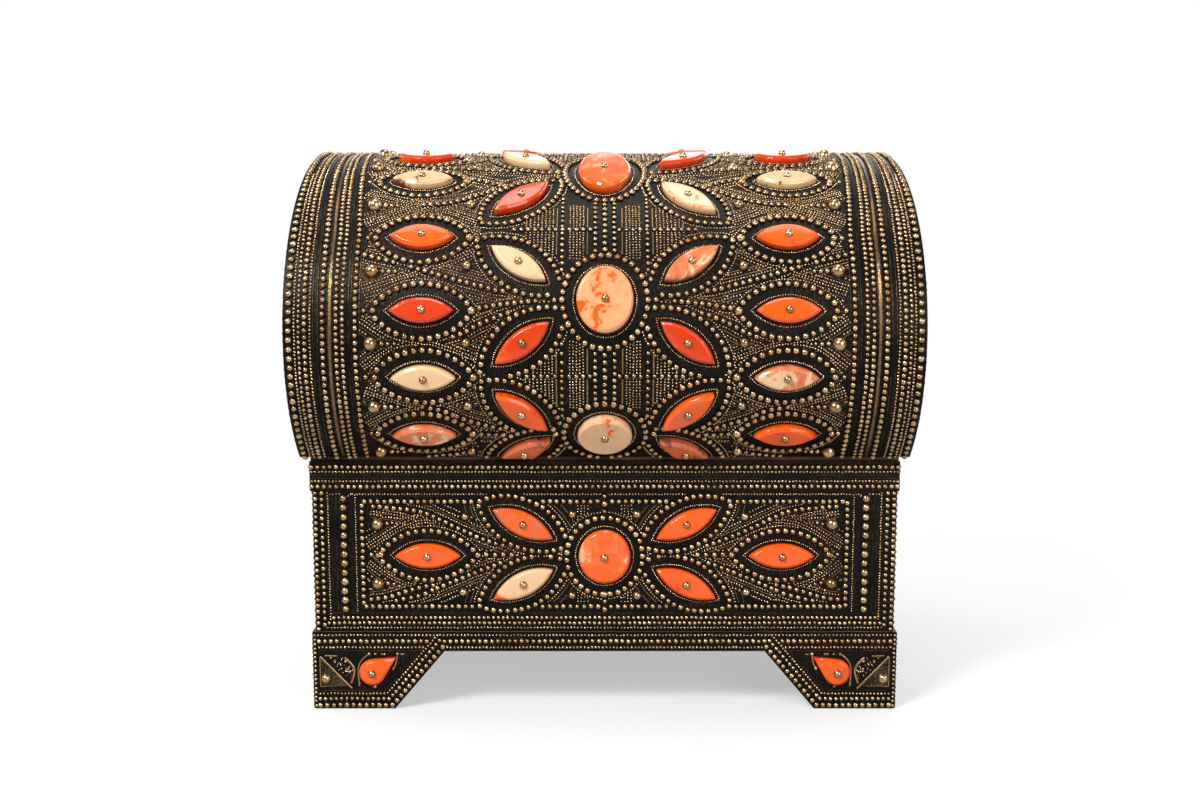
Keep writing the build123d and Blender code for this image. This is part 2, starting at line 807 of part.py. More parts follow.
drops = [
    (drop_blank(), front_seat(-drop_column, drop_height, drop_tilt, plinth_depth / 2)),
    (drop_blank(), front_seat(drop_column, drop_height, 180 - drop_tilt, plinth_depth / 2)),
]
with BuildPart() as foot_drops:
    set_stones(drops, box_form.part)
save(foot_drops, "foot_drops")
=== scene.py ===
import json
import math

import bmesh
import bpy
import numpy as np
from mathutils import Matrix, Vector

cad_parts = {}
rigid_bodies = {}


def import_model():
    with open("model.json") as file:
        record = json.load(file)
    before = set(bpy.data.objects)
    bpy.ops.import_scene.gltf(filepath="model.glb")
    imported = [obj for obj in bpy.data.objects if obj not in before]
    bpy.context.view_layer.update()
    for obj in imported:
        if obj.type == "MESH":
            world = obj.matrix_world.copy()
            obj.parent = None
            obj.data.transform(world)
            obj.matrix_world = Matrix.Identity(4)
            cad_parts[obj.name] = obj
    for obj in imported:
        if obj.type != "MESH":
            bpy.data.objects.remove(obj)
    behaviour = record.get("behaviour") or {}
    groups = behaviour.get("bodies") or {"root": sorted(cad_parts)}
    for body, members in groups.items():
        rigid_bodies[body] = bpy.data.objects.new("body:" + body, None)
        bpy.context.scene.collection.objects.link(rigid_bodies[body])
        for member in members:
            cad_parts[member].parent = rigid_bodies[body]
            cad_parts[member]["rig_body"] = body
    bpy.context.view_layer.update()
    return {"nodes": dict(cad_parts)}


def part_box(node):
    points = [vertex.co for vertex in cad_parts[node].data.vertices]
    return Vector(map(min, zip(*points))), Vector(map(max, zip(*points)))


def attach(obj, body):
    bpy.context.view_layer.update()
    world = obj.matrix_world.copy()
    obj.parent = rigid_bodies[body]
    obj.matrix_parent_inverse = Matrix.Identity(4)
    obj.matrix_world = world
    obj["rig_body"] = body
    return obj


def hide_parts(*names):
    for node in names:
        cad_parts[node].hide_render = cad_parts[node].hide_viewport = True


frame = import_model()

# Dressing of the dowry chest: cabochons with their nails, rows of embossed beads, grains and wires, foot
# plates, hinge screws, finishes, and the stage. Layouts are in millimetres, meshes in metres.
bl_info = {
    "name": "Dowry Chest Dressing",
    "version": (1, 0, 0),
    "blender": (4, 5, 0),
    "location": "3D View > Sidebar > Chest",
    "description": "Embossed metal, cabochons and stage of a dowry chest",
    "category": "Object",
}

MM = 0.001


def extent(node, axis):
    """Lowest and highest coordinate of a node of the frame along an axis, in millimetres."""
    low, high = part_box(node)
    return low[axis] / MM, high[axis] / MM


# ------------------------------------------------------------------ sizes, most of them from the frame
# Sheet metal, and the raised bands and frames on it
sheet = 0.6
relief = 0.5
# Lid: an oval barrel with a raised band round each end
lid_end = extent("lid_skin", 0)[1]
lid_half_depth = extent("lid_left_gable_skin", 1)[1] + sheet
lid_edge, lid_top = extent("lid_left_gable_skin", 2)
lid_half_height = 96.5
lid_centre = lid_top + sheet - lid_half_height
lid_band = 31.8
# Box: four sides, each with a raised frame whose half length is measured to its outer edge
box_end = extent("front_skin", 0)[1]
box_bottom, box_top = extent("front_skin", 2)
box_front = -extent("front_skin", 1)[0] - relief
box_middle = (box_bottom + box_top) / 2
frame_middle = box_middle + 4.25
frame_half_height = 30.85
frame_width = 3.8
long_frame = box_end - 24.6
short_frame = box_front - 9.4
# Rim, and the seam above it that the hinge screws lie in
rim_end = extent("rim_band", 0)[1]
rim_front = extent("rim_band", 1)[1]
rim_top = extent("rim_band", 2)[1]
lid_seam = 0.3
screw_row = rim_front - 4.25
# Plinth, cut away in arches between slanted feet
plinth_end = extent("plinth_band", 0)[1]
plinth_front = extent("plinth_band", 1)[1]
arch_height = 32.7
foot_slant = 27.7
front_foot = 43.95
side_foot = 40.25

# Length along the barrel's metal, from its foremost line, against the angle on its oval
ANGLES = np.radians(np.linspace(-50, 90, 14001))
STEPS = np.hypot(lid_half_depth * np.sin(ANGLES), lid_half_height * np.cos(ANGLES)) * (ANGLES[1] - ANGLES[0])
ARCS = np.concatenate(([0.0], np.cumsum((STEPS[1:] + STEPS[:-1]) / 2)))
ARCS = ARCS - np.interp(0.0, ANGLES, ARCS)
crown = ARCS[-1]
edge_arc = np.interp(math.asin((lid_edge - lid_centre) / lid_half_height), ANGLES, ARCS)


# ------------------------------------------------------------------ surfaces that carry ornament
class Barrel:
    """Front or back half of the lid. u runs along the chest, v up the metal from its foremost line."""

    def __init__(self, side):
        self.side, self.sink = side, 0.0

    def seat(self, u, v):
        """Points, directions to the right and up, and outward directions at places on the metal."""
        u, v = np.atleast_1d(u).astype(float), np.atleast_1d(v).astype(float)
        angle = np.interp(v, ARCS, ANGLES)
        lift = np.where(np.abs(u) > lid_end - lid_band, relief, 0.0)
        depth, height = lid_half_depth + lift, lid_half_height + lift
        points = np.column_stack((u, self.side * depth * np.cos(angle), lid_centre + height * np.sin(angle)))
        across, rise = np.cos(angle) / lid_half_depth, np.sin(angle) / lid_half_height
        size = np.hypot(across, rise)
        facing = np.column_stack((np.zeros_like(u), self.side * across / size, rise / size))
        up = np.column_stack((np.zeros_like(u), -self.side * facing[:, 2], self.side * facing[:, 1]))
        right = np.tile((1.0, 0.0, 0.0), (len(u), 1))
        return points, right, up, facing


class Wall:
    """A flat face, upright unless told otherwise. u runs to the right as one looks at it, v is the height
    above the floor. Ornament is sunk in it by a share of its size."""

    slack = 0.05

    def __init__(self, origin, right, frame_edge=None, up=(0, 0, 1), sink=0.0):
        self.frame_edge, self.sink = frame_edge, sink
        self.origin = np.array(origin, float)
        self.right = np.array(right, float)
        self.up = np.array(up, float)
        self.facing = np.cross(self.right, self.up)

    def seat(self, u, v):
        """Points, directions to the right and up, and outward directions at places on the face."""
        u, v = np.atleast_1d(u).astype(float), np.atleast_1d(v).astype(float)
        points = self.origin + u[:, None] * self.right + v[:, None] * self.up
        if self.frame_edge:
            edge = np.maximum(np.abs(u) - self.frame_edge, np.abs(v - frame_middle) - frame_half_height)
            raised = (edge < self.slack) & (edge > -frame_width - self.slack)
            points += np.where(raised, relief, 0.0)[:, None] * self.facing
        alike = [np.tile(way, (len(u), 1)) for way in (self.right, self.up, self.facing)]
        return points, *alike


END_SINK = 0.22


def four_walls(half_length, half_depth, frame_edges=(None, None)):
    """Front, back, left and right face of an upright box."""
    return (
        Wall((0, -half_depth, 0), (1, 0, 0), frame_edges[0]),
        Wall((0, half_depth, 0), (-1, 0, 0), frame_edges[0]),
        Wall((-half_length, 0, 0), (0, -1, 0), frame_edges[1], sink=END_SINK),
        Wall((half_length, 0, 0), (0, 1, 0), frame_edges[1], sink=END_SINK),
    )


lid_front, lid_back = Barrel(-1), Barrel(1)
box_walls = four_walls(box_end, box_front, (long_frame, short_frame))
rim_walls = four_walls(rim_end, rim_front)
plinth_walls = four_walls(plinth_end, plinth_front)
gables = four_walls(lid_end, lid_half_depth)[2:]


# ------------------------------------------------------------------ outlines, as arrays of u and v
def lens(length, width, offset=0.0, flats=24):
    """A pointed oval of two equal arcs, moved outwards by an offset."""
    radius = (length ** 2 + width ** 2) / (4 * width)
    centre = radius - width / 2
    reach = radius + offset
    spread = math.acos(centre / reach)
    angles = np.linspace(-spread, spread, flats + 1)
    upper = np.column_stack((reach * np.sin(angles), reach * np.cos(angles) - centre))
    return np.vstack((upper[:-1], -upper[:-1]))


def oval(width, height, offset=0.0, flats=48):
    """An oval, moved outwards by an offset."""
    angles = np.linspace(0, 2 * np.pi, flats, endpoint=False)
    return np.column_stack(((width / 2 + offset) * np.cos(angles), (height / 2 + offset) * np.sin(angles)))


def drop(radius, point, offset=0.0, flats=28):
    """A round end with two tangents that meet in a tip."""
    spread = math.acos(radius / point)
    tip = point + offset / math.cos(spread)
    angles = np.linspace(spread, 2 * np.pi - spread, flats + 1)
    arc = np.column_stack(((radius + offset) * np.cos(angles), (radius + offset) * np.sin(angles)))
    return np.vstack(([(tip, 0.0)], arc))


def turned(points, tilt, u=0.0, v=0.0):
    """Points turned by an angle in degrees and moved."""
    c, s = math.cos(math.radians(tilt)), math.sin(math.radians(tilt))
    return np.asarray(points, float) @ np.array(((c, s), (-s, c))) + (u, v)


def through(*points, steps=12):
    """A smooth curve through points."""
    p = np.array(points, float)
    p = np.vstack((2 * p[0] - p[1], p, 2 * p[-1] - p[-2]))
    t = np.linspace(0, 1, steps, endpoint=False)[:, None]
    pieces = []
    for a, b, c, d in zip(p[:-3], p[1:-2], p[2:-1], p[3:]):
        square, cube = a - 2.5 * b + 2 * c - d / 2, 1.5 * (b - c) + (d - a) / 2
        pieces.append(b + t * (c - a) / 2 + t ** 2 * square + t ** 3 * cube)
    return np.vstack((*pieces, [p[-2]]))


def walked(points, step=0.5, closed=False):
    """The same path with points at a short, even spacing."""
    p = np.asarray(points, float)
    if closed:
        p = np.vstack((p, p[:1]))
    lengths = np.concatenate(([0.0], np.cumsum(np.hypot(*np.diff(p, axis=0).T))))
    count = max(2, int(round(lengths[-1] / step)) + 1)
    at = np.linspace(0, lengths[-1], count)
    return np.column_stack((np.interp(at, lengths, p[:, 0]), np.interp(at, lengths, p[:, 1])))


def level(half, v):
    """A level line across the middle."""
    return ((-half, v), (half, v))


def upright(u, start, end):
    """An upright line at a distance to the left of the middle."""
    return ((-u, start), (-u, end))


def rectangle(half_width, low, high):
    """Outline of a level rectangle."""
    return ((-half_width, low), (half_width, low), (half_width, high), (-half_width, high))


# ------------------------------------------------------------------ cabochons
class Stone:
    """A cabochon on a surface: its outline, place and tilt, the node it dresses, the colours of its body and
    its flecks, and the flecks' share of it."""

    def __init__(self, shape, sizes, u, v, tilt=0.0, node="", colour="orange", fleck="cream", share=0.1):
        self.shape, self.sizes, self.u, self.v, self.tilt = shape, sizes, u, v, tilt
        self.node, self.colour, self.fleck, self.share = node, colour, fleck, share

    def outline(self, offset=0.0):
        """Outline round its own middle, unturned."""
        return self.shape(*self.sizes, offset)

    def ring(self, offset):
        """Outline on the surface it stands on."""
        return turned(self.outline(offset), self.tilt, self.u, self.v)

    def covers(self, points, margin):
        """True where points lie within the outline moved outwards by a margin."""
        local = turned(np.asarray(points) - (self.u, self.v), -self.tilt)
        if self.shape is oval:
            half_width, half_height = self.sizes[0] / 2 + margin, self.sizes[1] / 2 + margin
            return np.hypot(local[:, 0] / half_width, local[:, 1] / half_height) < 1
        if self.shape is lens:
            length, width = self.sizes
            radius = (length ** 2 + width ** 2) / (4 * width)
            centre = radius - width / 2
            return np.hypot(local[:, 0], np.abs(local[:, 1]) + centre) < radius + margin
        radius, point = self.sizes
        along = np.clip(local[:, 0], 0, point)
        return np.hypot(local[:, 0] - along, local[:, 1]) < radius * (1 - along / point) + margin


# Rows of cabochons on the barrel: place up the metal, distance from the middle, length, width, for slanted
# ones their tilt, and the left and the right one's colours of body and flecks and the flecks' share
SIDE_ROWS = (
    (-53.0, 93.6, 32.6, 13.4, ("coral", "cream", 0.42), ("orange", "red", 0.3)),
    (-17.6, 91.9, 33.0, 13.2, ("cream", "orange", 0.05), ("coral", "cream", 0.5)),
    (16.2, 92.3, 32.6, 12.9, ("red", "coral", 0.2), ("orange", "red", 0.15)),
    (56.7, 93.6, 32.2, 14.6, ("orange", "red", 0.25), ("orange", "red", 0.2)),
    (104.6, 97.2, 31.8, 15.6, ("cream", "brown", 0.3), ("cream", "brown", 0.2)),
    (143.2, 99.2, 31.0, 17.0, ("red", "orange", 0.2), ("red", "orange", 0.1)),
)
SLANTED_ROWS = (
    (-66.6, 42.4, 34.6, 12.8, 36.5, ("coral", "brown", 0.35), ("coral", "brown", 0.35)),
    (-37.4, 42.6, 34.1, 12.5, 41.0, ("orange", "red", 0.35), ("orange", "coral", 0.3)),
    (0.2, 41.6, 34.6, 12.4, 37.7, ("red", "orange", 0.4), ("red", "orange", 0.3)),
    (40.7, 43.8, 33.6, 12.4, 34.8, ("cream", "orange", 0.08), ("coral", "cream", 0.4)),
    (86.1, 43.6, 37.2, 14.2, 43.0, ("red", "coral", 0.3), ("cream", "orange", 0.25)),
)
FRONT_TOP_ROW = (136.0, 43.4, 36.6, 14.2, 42.0, ("cream", "brown", 0.1), ("red", "coral", 0.3))
BACK_TOP_ROW = (157.6, 46.3, 34.6, 13.0, 36.5, ("red", "brown", 0.2), ("orange", "red", 0.2))
# Medallions of the barrel: place up the metal, width, height, colours and share
MEDALLION_ROWS = (
    (-53.1, 28.3, 26.5, ("cream", "orange", 0.4)),
    (21.6, 28.7, 34.3, ("peach", "orange", 0.52)),
    (116.8, 28.4, 50.0, ("orange", "peach", 0.34)),
)
LID_NODES = {"orange": "lid_orange_stones", "red": "lid_red_stones", "cream": "lid_cream_stones",
             "coral": "lid_coral_stones"}


def inward(side, tilt, rising):
    """Tilt of a slanted petal whose inner end is its upper one if rising, or else its lower one."""
    return tilt if (side < 0) == rising else -tilt


def pair(v, column, length, width, tilt, rising, finishes):
    """A petal on the left of the barrel and one on the right, each with its own colours."""
    return [
        Stone(
            lens, (length, width), side * column, v, inward(side, tilt, rising), LID_NODES[colour], colour,
            *flecks
        )
        for side, (colour, *flecks) in zip((-1, 1), finishes)
    ]


def lid_stones(back):
    """Cabochons of the front or the back of the barrel."""
    stones = []
    for v, column, length, width, *finishes in SIDE_ROWS:
        stones += pair(v, column, length, width, 0.0, True, finishes)
    rows = [(row, number % 2 == 0) for number, row in enumerate(SLANTED_ROWS)]
    rows.append((BACK_TOP_ROW if back else FRONT_TOP_ROW, False))
    for (v, column, length, width, tilt, *finishes), rising in rows:
        stones += pair(v, column, length, width, tilt, rising, finishes)
    for v, width, length, finish in MEDALLION_ROWS:
        stones.append(Stone(oval, (width, length), 0.0, v, 0.0, "lid_medallions", *finish))
    return stones


# Places and sizes of the cabochons on the box, the ends of the lid and the feet
MEDALLION_HEIGHT, SIDE_HEIGHT, SLANTED_MIDDLE = box_middle + 3.1, box_middle + 3.5, box_middle + 4.4
PANEL_OVAL, PANEL_PETAL, PANEL_SLANTED = (27.7, 29.2), (35.2, 13.4), (35.8, 12.9)
FRONT_COLUMN, END_COLUMN, GABLE_COLUMN = 95.0, 56.0, 62.0
SLANTED_COLUMN, SLANTED_RISE, SLANTED_TILT = 43.8, 16.5, 26.3
DROP_SIZES, DROP_COLUMN, DROP_HEIGHT, DROP_TILT = (7.05, 15.1), plinth_end - 32.4, 21.3, 33.0
GABLE_HEIGHT = lid_centre + 4.3

# The front's slanted stones: side, above or below the middle, node, colours and share
SLANTED_STONES = (
    (-1, 1, "front_coral_stone", "orange", "coral", 0.55),
    (-1, -1, "front_cream_stone", "cream", "orange", 0.3),
    (1, 1, "front_orange_stones", "orange", "coral", 0.2),
    (1, -1, "front_orange_stones", "orange", "red", 0.3),
)
front_stones = [
    Stone(oval, PANEL_OVAL, 0.0, MEDALLION_HEIGHT, 0.0, "front_medallion", "orange", "peach", 0.24),
    Stone(lens, PANEL_PETAL, -FRONT_COLUMN, SIDE_HEIGHT, 0.0, "front_orange_stones", "orange", "red", 0.15),
    Stone(lens, PANEL_PETAL, FRONT_COLUMN, SIDE_HEIGHT, 0.0, "front_orange_stones", "orange", "red", 0.1),
]
front_stones += [
    Stone(
        lens, PANEL_SLANTED, side * SLANTED_COLUMN, SLANTED_MIDDLE + rise * SLANTED_RISE,
        side * rise * SLANTED_TILT, node, *finish
    )
    for side, rise, node, *finish in SLANTED_STONES
]
end_stones = [
    Stone(oval, PANEL_OVAL, 0.0, MEDALLION_HEIGHT, 0.0, "end_panel_stones", "orange", "peach", 0.3),
    Stone(lens, PANEL_PETAL, -END_COLUMN, SIDE_HEIGHT, 0.0, "end_panel_stones", "orange", "red", 0.2),
    Stone(lens, PANEL_PETAL, END_COLUMN, SIDE_HEIGHT, 0.0, "end_panel_stones", "orange", "red", 0.1),
]
gable_stones = [
    Stone(oval, PANEL_OVAL, 0.0, GABLE_HEIGHT, 0.0, "lid_medallions", "peach", "orange", 0.4),
    Stone(lens, PANEL_PETAL, -GABLE_COLUMN, GABLE_HEIGHT, 0.0, "lid_orange_stones", "orange", "red", 0.2),
    Stone(lens, PANEL_PETAL, GABLE_COLUMN, GABLE_HEIGHT, 0.0, "lid_orange_stones", "orange", "red", 0.1),
]
foot_stones = [
    Stone(drop, DROP_SIZES, -DROP_COLUMN, DROP_HEIGHT, DROP_TILT, "foot_drops", "orange", "coral", 0.25),
    Stone(drop, DROP_SIZES, DROP_COLUMN, DROP_HEIGHT, 180 - DROP_TILT, "foot_drops", "orange", "red", 0.25),
]
# Surfaces with the cabochons that stand on them
stone_sets = [
    (lid_front, lid_stones(False)),
    (lid_back, lid_stones(True)),
    (box_walls[0], front_stones),
    (box_walls[2], end_stones),
    (box_walls[3], end_stones),
    (gables[0], gable_stones),
    (gables[1], gable_stones),
    (plinth_walls[0], foot_stones),
]


# ------------------------------------------------------------------ rows of beads and wires
# The margin of a row that may lie anywhere, also on a stone
ANYWHERE = -9


class Ornament:
    """Ornament of one surface. Rows stay clear of the stones and the smooth channels round them, of each
    other and of the surface's border."""

    # Widest grain, room kept round a boss, how far off a row can matter, spacing of a path's points, and
    # how many of them are tested at once
    widest_grain = 1.7
    stud_room = 0.7
    nearby = 6
    step = 0.5
    batch = 400

    def __init__(self, surface, stones, inside):
        self.surface, self.stones, self.inside = surface, stones, inside
        self.rows = {"beads": [], "grains": [], "wires": [], "strokes": [], "ribs": [], "studs": []}
        self.taken = np.zeros((0, 3))
        self.channels = []

    def clear(self, points, radius, margin, crowding):
        """True where a bead of the radius has room."""
        free = self.inside(points[:, 0], points[:, 1])
        for stone in self.stones:
            free &= ~stone.covers(points, margin + radius)
        for stone, reach in self.channels:
            free &= ~stone.covers(points, reach)
        if len(self.taken):
            low, high = points.min(0) - self.nearby, points.max(0) + self.nearby
            t = self.taken
            near = t[(t[:, 0] > low[0]) & (t[:, 0] < high[0]) & (t[:, 1] > low[1]) & (t[:, 1] < high[1])]
            for start in range(0, len(points), self.batch):
                part = points[start:start + self.batch]
                if len(near):
                    gap = np.hypot(part[:, None, 0] - near[None, :, 0], part[:, None, 1] - near[None, :, 1])
                    apart = gap > crowding * (near[None, :, 2] + radius)
                    free[start:start + self.batch] &= apart.all(axis=1)
        return free

    def row(self, points, size, pitch, closed=False, margin=0.3, crowding=0.92, lift=0.0):
        """A row of beads of a size along a path."""
        kind = "beads" if size > self.widest_grain else "grains"
        self._lay(kind, points, size, size / 2, margin, crowding, pitch, closed, lift)

    def wire(self, points, width):
        """A raised line along a path."""
        self._lay("wires", points, width, width / 4, 0.2, 0.8)

    def stroke(self, points, width, crowding=0.75):
        """A fine chased line along a path."""
        self._lay("strokes", points, width, width / 4, 0.2, crowding)

    def rib(self, points, width):
        """A raised, worn line along a path, whatever else is near."""
        self._lay("ribs", points, width, width / 4, ANYWHERE, 0)

    def stud(self, u, v, size):
        """A single domed boss."""
        points = np.array(((u, v),), float)
        self.rows["studs"].append((points, size, size, False, 0.0))
        self.taken = np.vstack((self.taken, (u, v, size / 2 + self.stud_room)))

    def _lay(self, kind, points, size, radius, margin, crowding, pitch=1.0, closed=False, lift=0.0):
        """Keep the stretches of a path that have room. Beads take up the room, and lines leave it free."""
        beaded = kind in ("beads", "grains")
        path = walked(points, self.step, closed)
        free = self.clear(path, radius, margin, crowding)
        if closed and free.all():
            runs = [(path[:-1], True)]
        else:
            # A broken ring starts at a gap, so that no stretch is cut in two
            if closed and free[0]:
                start = int(np.argmin(free))
                path, free = np.roll(path[:-1], -start, axis=0), np.roll(free[:-1], -start)
            edges = np.flatnonzero(np.diff(np.concatenate(([0], free.astype(int), [0]))))
            runs = [(path[a:b], False) for a, b in zip(edges[::2], edges[1::2]) if b - a >= 2]
        for run, whole in runs:
            kept = run if beaded or whole else np.vstack((run[:-1:3], run[-1:]))
            self.rows[kind].append((kept, size, pitch, whole, lift))
            if beaded:
                self.taken = np.vstack((self.taken, np.column_stack((run, np.full(len(run), radius)))))


def mirrored(points):
    """The same path on the other side of the middle."""
    return np.asarray(points, float) * (-1, 1)


def both_sides(lay, points, *sizes, **choices):
    """Lay a row on the left and its mirror image on the right."""
    lay(points, *sizes, **choices)
    lay(mirrored(points), *sizes, **choices)


def beside(points, distance):
    """The same path moved sideways, to its left if the distance is positive."""
    path = walked(points, 1.0)
    along = np.gradient(path, axis=0)
    along /= np.hypot(*along.T)[:, None]
    return path + distance * np.column_stack((-along[:, 1], along[:, 0]))


# Beads, as diameter and pitch
RING = (3.85, 4.3)
PETAL_RING = (3.7, 4.2)
SLANTED_RING = (3.4, 3.85)
RAY = (3.1, 3.5)
GRAIN = (1.25, 1.5)
MILGRAIN = (1.1, 1.25)


def dress_stone(ornament, stone, ring, reach):
    """Fine edging, smooth channel and ring of beads round a stone."""
    ornament.row(stone.ring(1.75), *MILGRAIN, closed=True, margin=ANYWHERE, crowding=0, lift=0.1)
    ornament.row(stone.ring(reach), *ring, closed=True, margin=ANYWHERE)
    ornament.channels.append((stone, reach - 0.3))


def ray(orn, line):
    """A ray of beads through points, and its mirror image."""
    both_sides(orn.row, through(*line), *RAY, crowding=0.88)


def fine_line(orn, line):
    """A fine line of two rows of grains through points, and its mirror image."""
    for shift in (-0.75, 0.75):
        both_sides(orn.row, beside(through(*line), shift), *GRAIN, crowding=0.8)


def dotted(orn, path, distance, crowding):
    """Rows of grains on both sides of a path, and their mirror images."""
    for shift in (distance, -distance):
        both_sides(orn.row, beside(path, shift), *GRAIN, crowding=crowding)


def chased(orn, path, distance, width):
    """Chased lines on both sides of a path, and their mirror images."""
    for shift in (distance, -distance):
        both_sides(orn.stroke, beside(path, shift), width)


FIELD_FRONT = 123.2


def field_half(v):
    """Half width of the lid's middle field: it widens towards the crown."""
    return np.interp(v, (60.0, 104.0, 141.0, crown), (FIELD_FRONT, 127.5, 130.3, 131.3))


# Columns of the lid's end bands: distance from the middle at the front, bead size and pitch
BAND_COLUMNS = (
    (158.9, 3.6, 4.6), (156.2, 1.5, 1.8), (154.0, 2.1, 2.6), (151.0, 3.0, 3.3), (148.3, 1.5, 1.8),
    (142.0, 3.3, 3.6), (135.2, 2.9, 3.2), (132.0, 2.6, 2.9), (125.7, 3.2, 3.6),
)
BAND_WIRES = (
    (146.8, 1.0), (144.5, 1.0), (139.5, 0.8), (137.4, 0.8), (129.0, 1.0), (127.7, 0.7), (123.6, 0.8)
)

# Lines of the lid's left half. Rays of beads run from between the stones towards the medallions, fine
# lines cross them.
LID_RAYS = (
    ((-122.0, 46.1), (-107.9, 42.1), (-92.5, 37.5), (-79.0, 33.2), (-64.7, 29.3), (-52.0, 26.3),
     (-30.0, 25.7)),
    ((-92.3, 0.2), (-82.8, 1.4), (-72.3, 4.7), (-62.3, 9.7), (-51.3, 14.2), (-42.3, 16.3), (-30.0, 17.6)),
    ((-93.4, -34.7), (-83.4, -36.8), (-73.4, -42.1), (-59.7, -47.4), (-46.5, -51.0), (-26.0, -54.5)),
    ((-94.4, 81.0), (-84.0, 82.4), (-74.0, 85.6), (-64.0, 91.3), (-52.0, 99.5), (-40.0, 106.5),
     (-25.0, 110.0)),
    ((-97.0, 124.2), (-84.0, 123.6), (-70.0, 121.5), (-52.0, 119.0), (-26.0, 118.0)),
    ((-98.0, 161.0), (-84.0, 160.0), (-66.0, 156.5), (-46.0, 158.0), (-24.0, 160.0)),
    ((-63.5, 17.4), (-50.0, 19.6), (-36.0, 21.0), (-26.5, 21.4)),
    ((-64.2, -53.2), (-40.0, -53.9), (-26.0, -54.4)),
    ((-93.0, -72.5), (-80.0, -70.5), (-66.0, -66.0)),
    ((-82.0, 131.0), (-72.0, 135.0), (-66.0, 142.0), (-60.0, 152.0), (-50.0, 158.0)),
    ((-84.0, 114.0), (-74.0, 109.0), (-64.0, 104.5), (-56.0, 100.0)),
)
LID_FINE_LINES = (
    ((-121.8, 26.6), (-108.0, 31.6), (-93.0, 36.8), (-90.0, 39.4), (-79.0, 43.2), (-67.0, 49.0)),
    ((-121.8, 12.4), (-107.0, 3.4), (-92.0, 0.2)),
    ((-121.8, -12.8), (-107.0, -2.6), (-92.0, 0.2), (-80.0, -2.6), (-66.0, -8.0)),
    ((-121.8, -26.0), (-107.0, -31.6), (-92.5, -34.7), (-80.0, -31.8), (-66.0, -26.5)),
    ((-121.8, -47.0), (-107.0, -38.4), (-92.5, -34.7)),
    ((-123.5, 67.0), (-108.0, 75.0), (-94.4, 81.0)),
    ((-124.5, 93.0), (-108.0, 85.5), (-94.4, 81.0), (-80.0, 74.5), (-62.0, 66.0)),
    ((-126.0, 113.0), (-110.0, 120.0), (-97.0, 124.2)),
    ((-126.5, 134.0), (-110.0, 127.6), (-97.0, 124.2)),
)
# Middles of the lid's cells, each with a large boss at its outer side and one between the stones
LID_CELLS = (37.0, -0.4, -34.7, 80.8, 124.2, -68.5, 163.0)
# Racks between the medallions: their middles up the metal, and how far out their fine columns are
RACKS = (-17.2, 62.3, 158.0)
RACK_COLUMNS = (11.0, 12.7, 14.4, 16.1, 17.8, 26.6, 28.4, 30.3, 32.3, 34.3, 36.3, 38.3, 40.3)


def dress_bands(orn, low):
    """Columns of beads and lines on the lid's end bands, which narrow as its middle field widens."""
    heights = np.arange(low, crown - 0.9, 1.0)
    border = field_half(heights)

    def column(distance):
        """Path up the left band."""
        u = border + (distance - FIELD_FRONT) * (lid_end - border) / (lid_end - FIELD_FRONT)
        return np.column_stack((-u, heights))

    for distance, size, pitch in BAND_COLUMNS:
        both_sides(orn.row, column(distance), size, pitch)
    for distance, width in BAND_WIRES:
        both_sides(orn.wire, column(distance), width)
    for number in range(4):
        both_sides(orn.stroke, column(138.0 + 0.45 * number), 0.5, crowding=0)


def dress_medallion(orn, stone):
    """Ring of a medallion of the lid, and a boss at each side of it."""
    dress_stone(orn, stone, RING, 7.2)
    for side in (-1, 1):
        orn.stud(side * (stone.sizes[0] / 2 + 11.3), stone.v, 3.4)


def dress_level_petal(orn, stone):
    """Ring of a level petal of the lid, a boss at each tip and, where it fits, one at the border."""
    tip = stone.outline(7.5)[:, 0].max()
    side = -1 if stone.u < 0 else 1
    orn.stud(stone.u - side * (tip - 1.0), stone.v, 4.5)
    orn.stud(stone.u + side * (tip - 1.6), stone.v, 3.7)
    dress_stone(orn, stone, PETAL_RING, 7.5)
    border = field_half(stone.v)
    if tip + abs(stone.u) < border - 1.0:
        orn.stud(side * (border - 2.0), stone.v, 2.6)


def dress_cells(orn):
    """Bosses in the lid's cells: a large one with a tail of small ones, and one further in."""
    for v in LID_CELLS:
        for side in (-1, 1):
            orn.stud(side * (field_half(v) - 5.2), v, 7.6)
            for number, size in enumerate((2.7, 2.4, 2.1)):
                orn.stud(side * (field_half(v) - 10.8 - 3.2 * number), v, size)
            orn.stud(side * 70.0, v + (3.0 if v == LID_CELLS[0] else 0.6), 5.2)


def dress_rack(orn, v, medallions):
    """Upright rows from one medallion to the next, or to the crown, crossed by a level row."""
    above = [m for m in medallions if m.v > v]
    below = [m for m in medallions if m.v < v][-1]
    bottom = below.v + below.sizes[1] / 2 + 7.0
    top = above[0].v - above[0].sizes[1] / 2 - 7.0 if above else crown
    for u, size, pitch in ((0.0, 3.0, 3.7), (4.9, 2.6, 3.4)):
        both_sides(orn.row, upright(u, bottom, top), size, pitch)
    both_sides(orn.row, ((-7.0, v), (-46.5, v)), 2.6, 3.5)
    both_sides(orn.row, upright(21.8, bottom - 8, top + 8), 2.4, 3.5)
    for u in (8.9, 24.6):
        both_sides(orn.stroke, upright(u, v + 16, v - 16), 1.1)
    for u in RACK_COLUMNS:
        reach = 18 - max(0.0, u - 26) * 0.75
        both_sides(orn.row, upright(u, v - reach, v + reach), 1.15, 1.5, crowding=0.8)


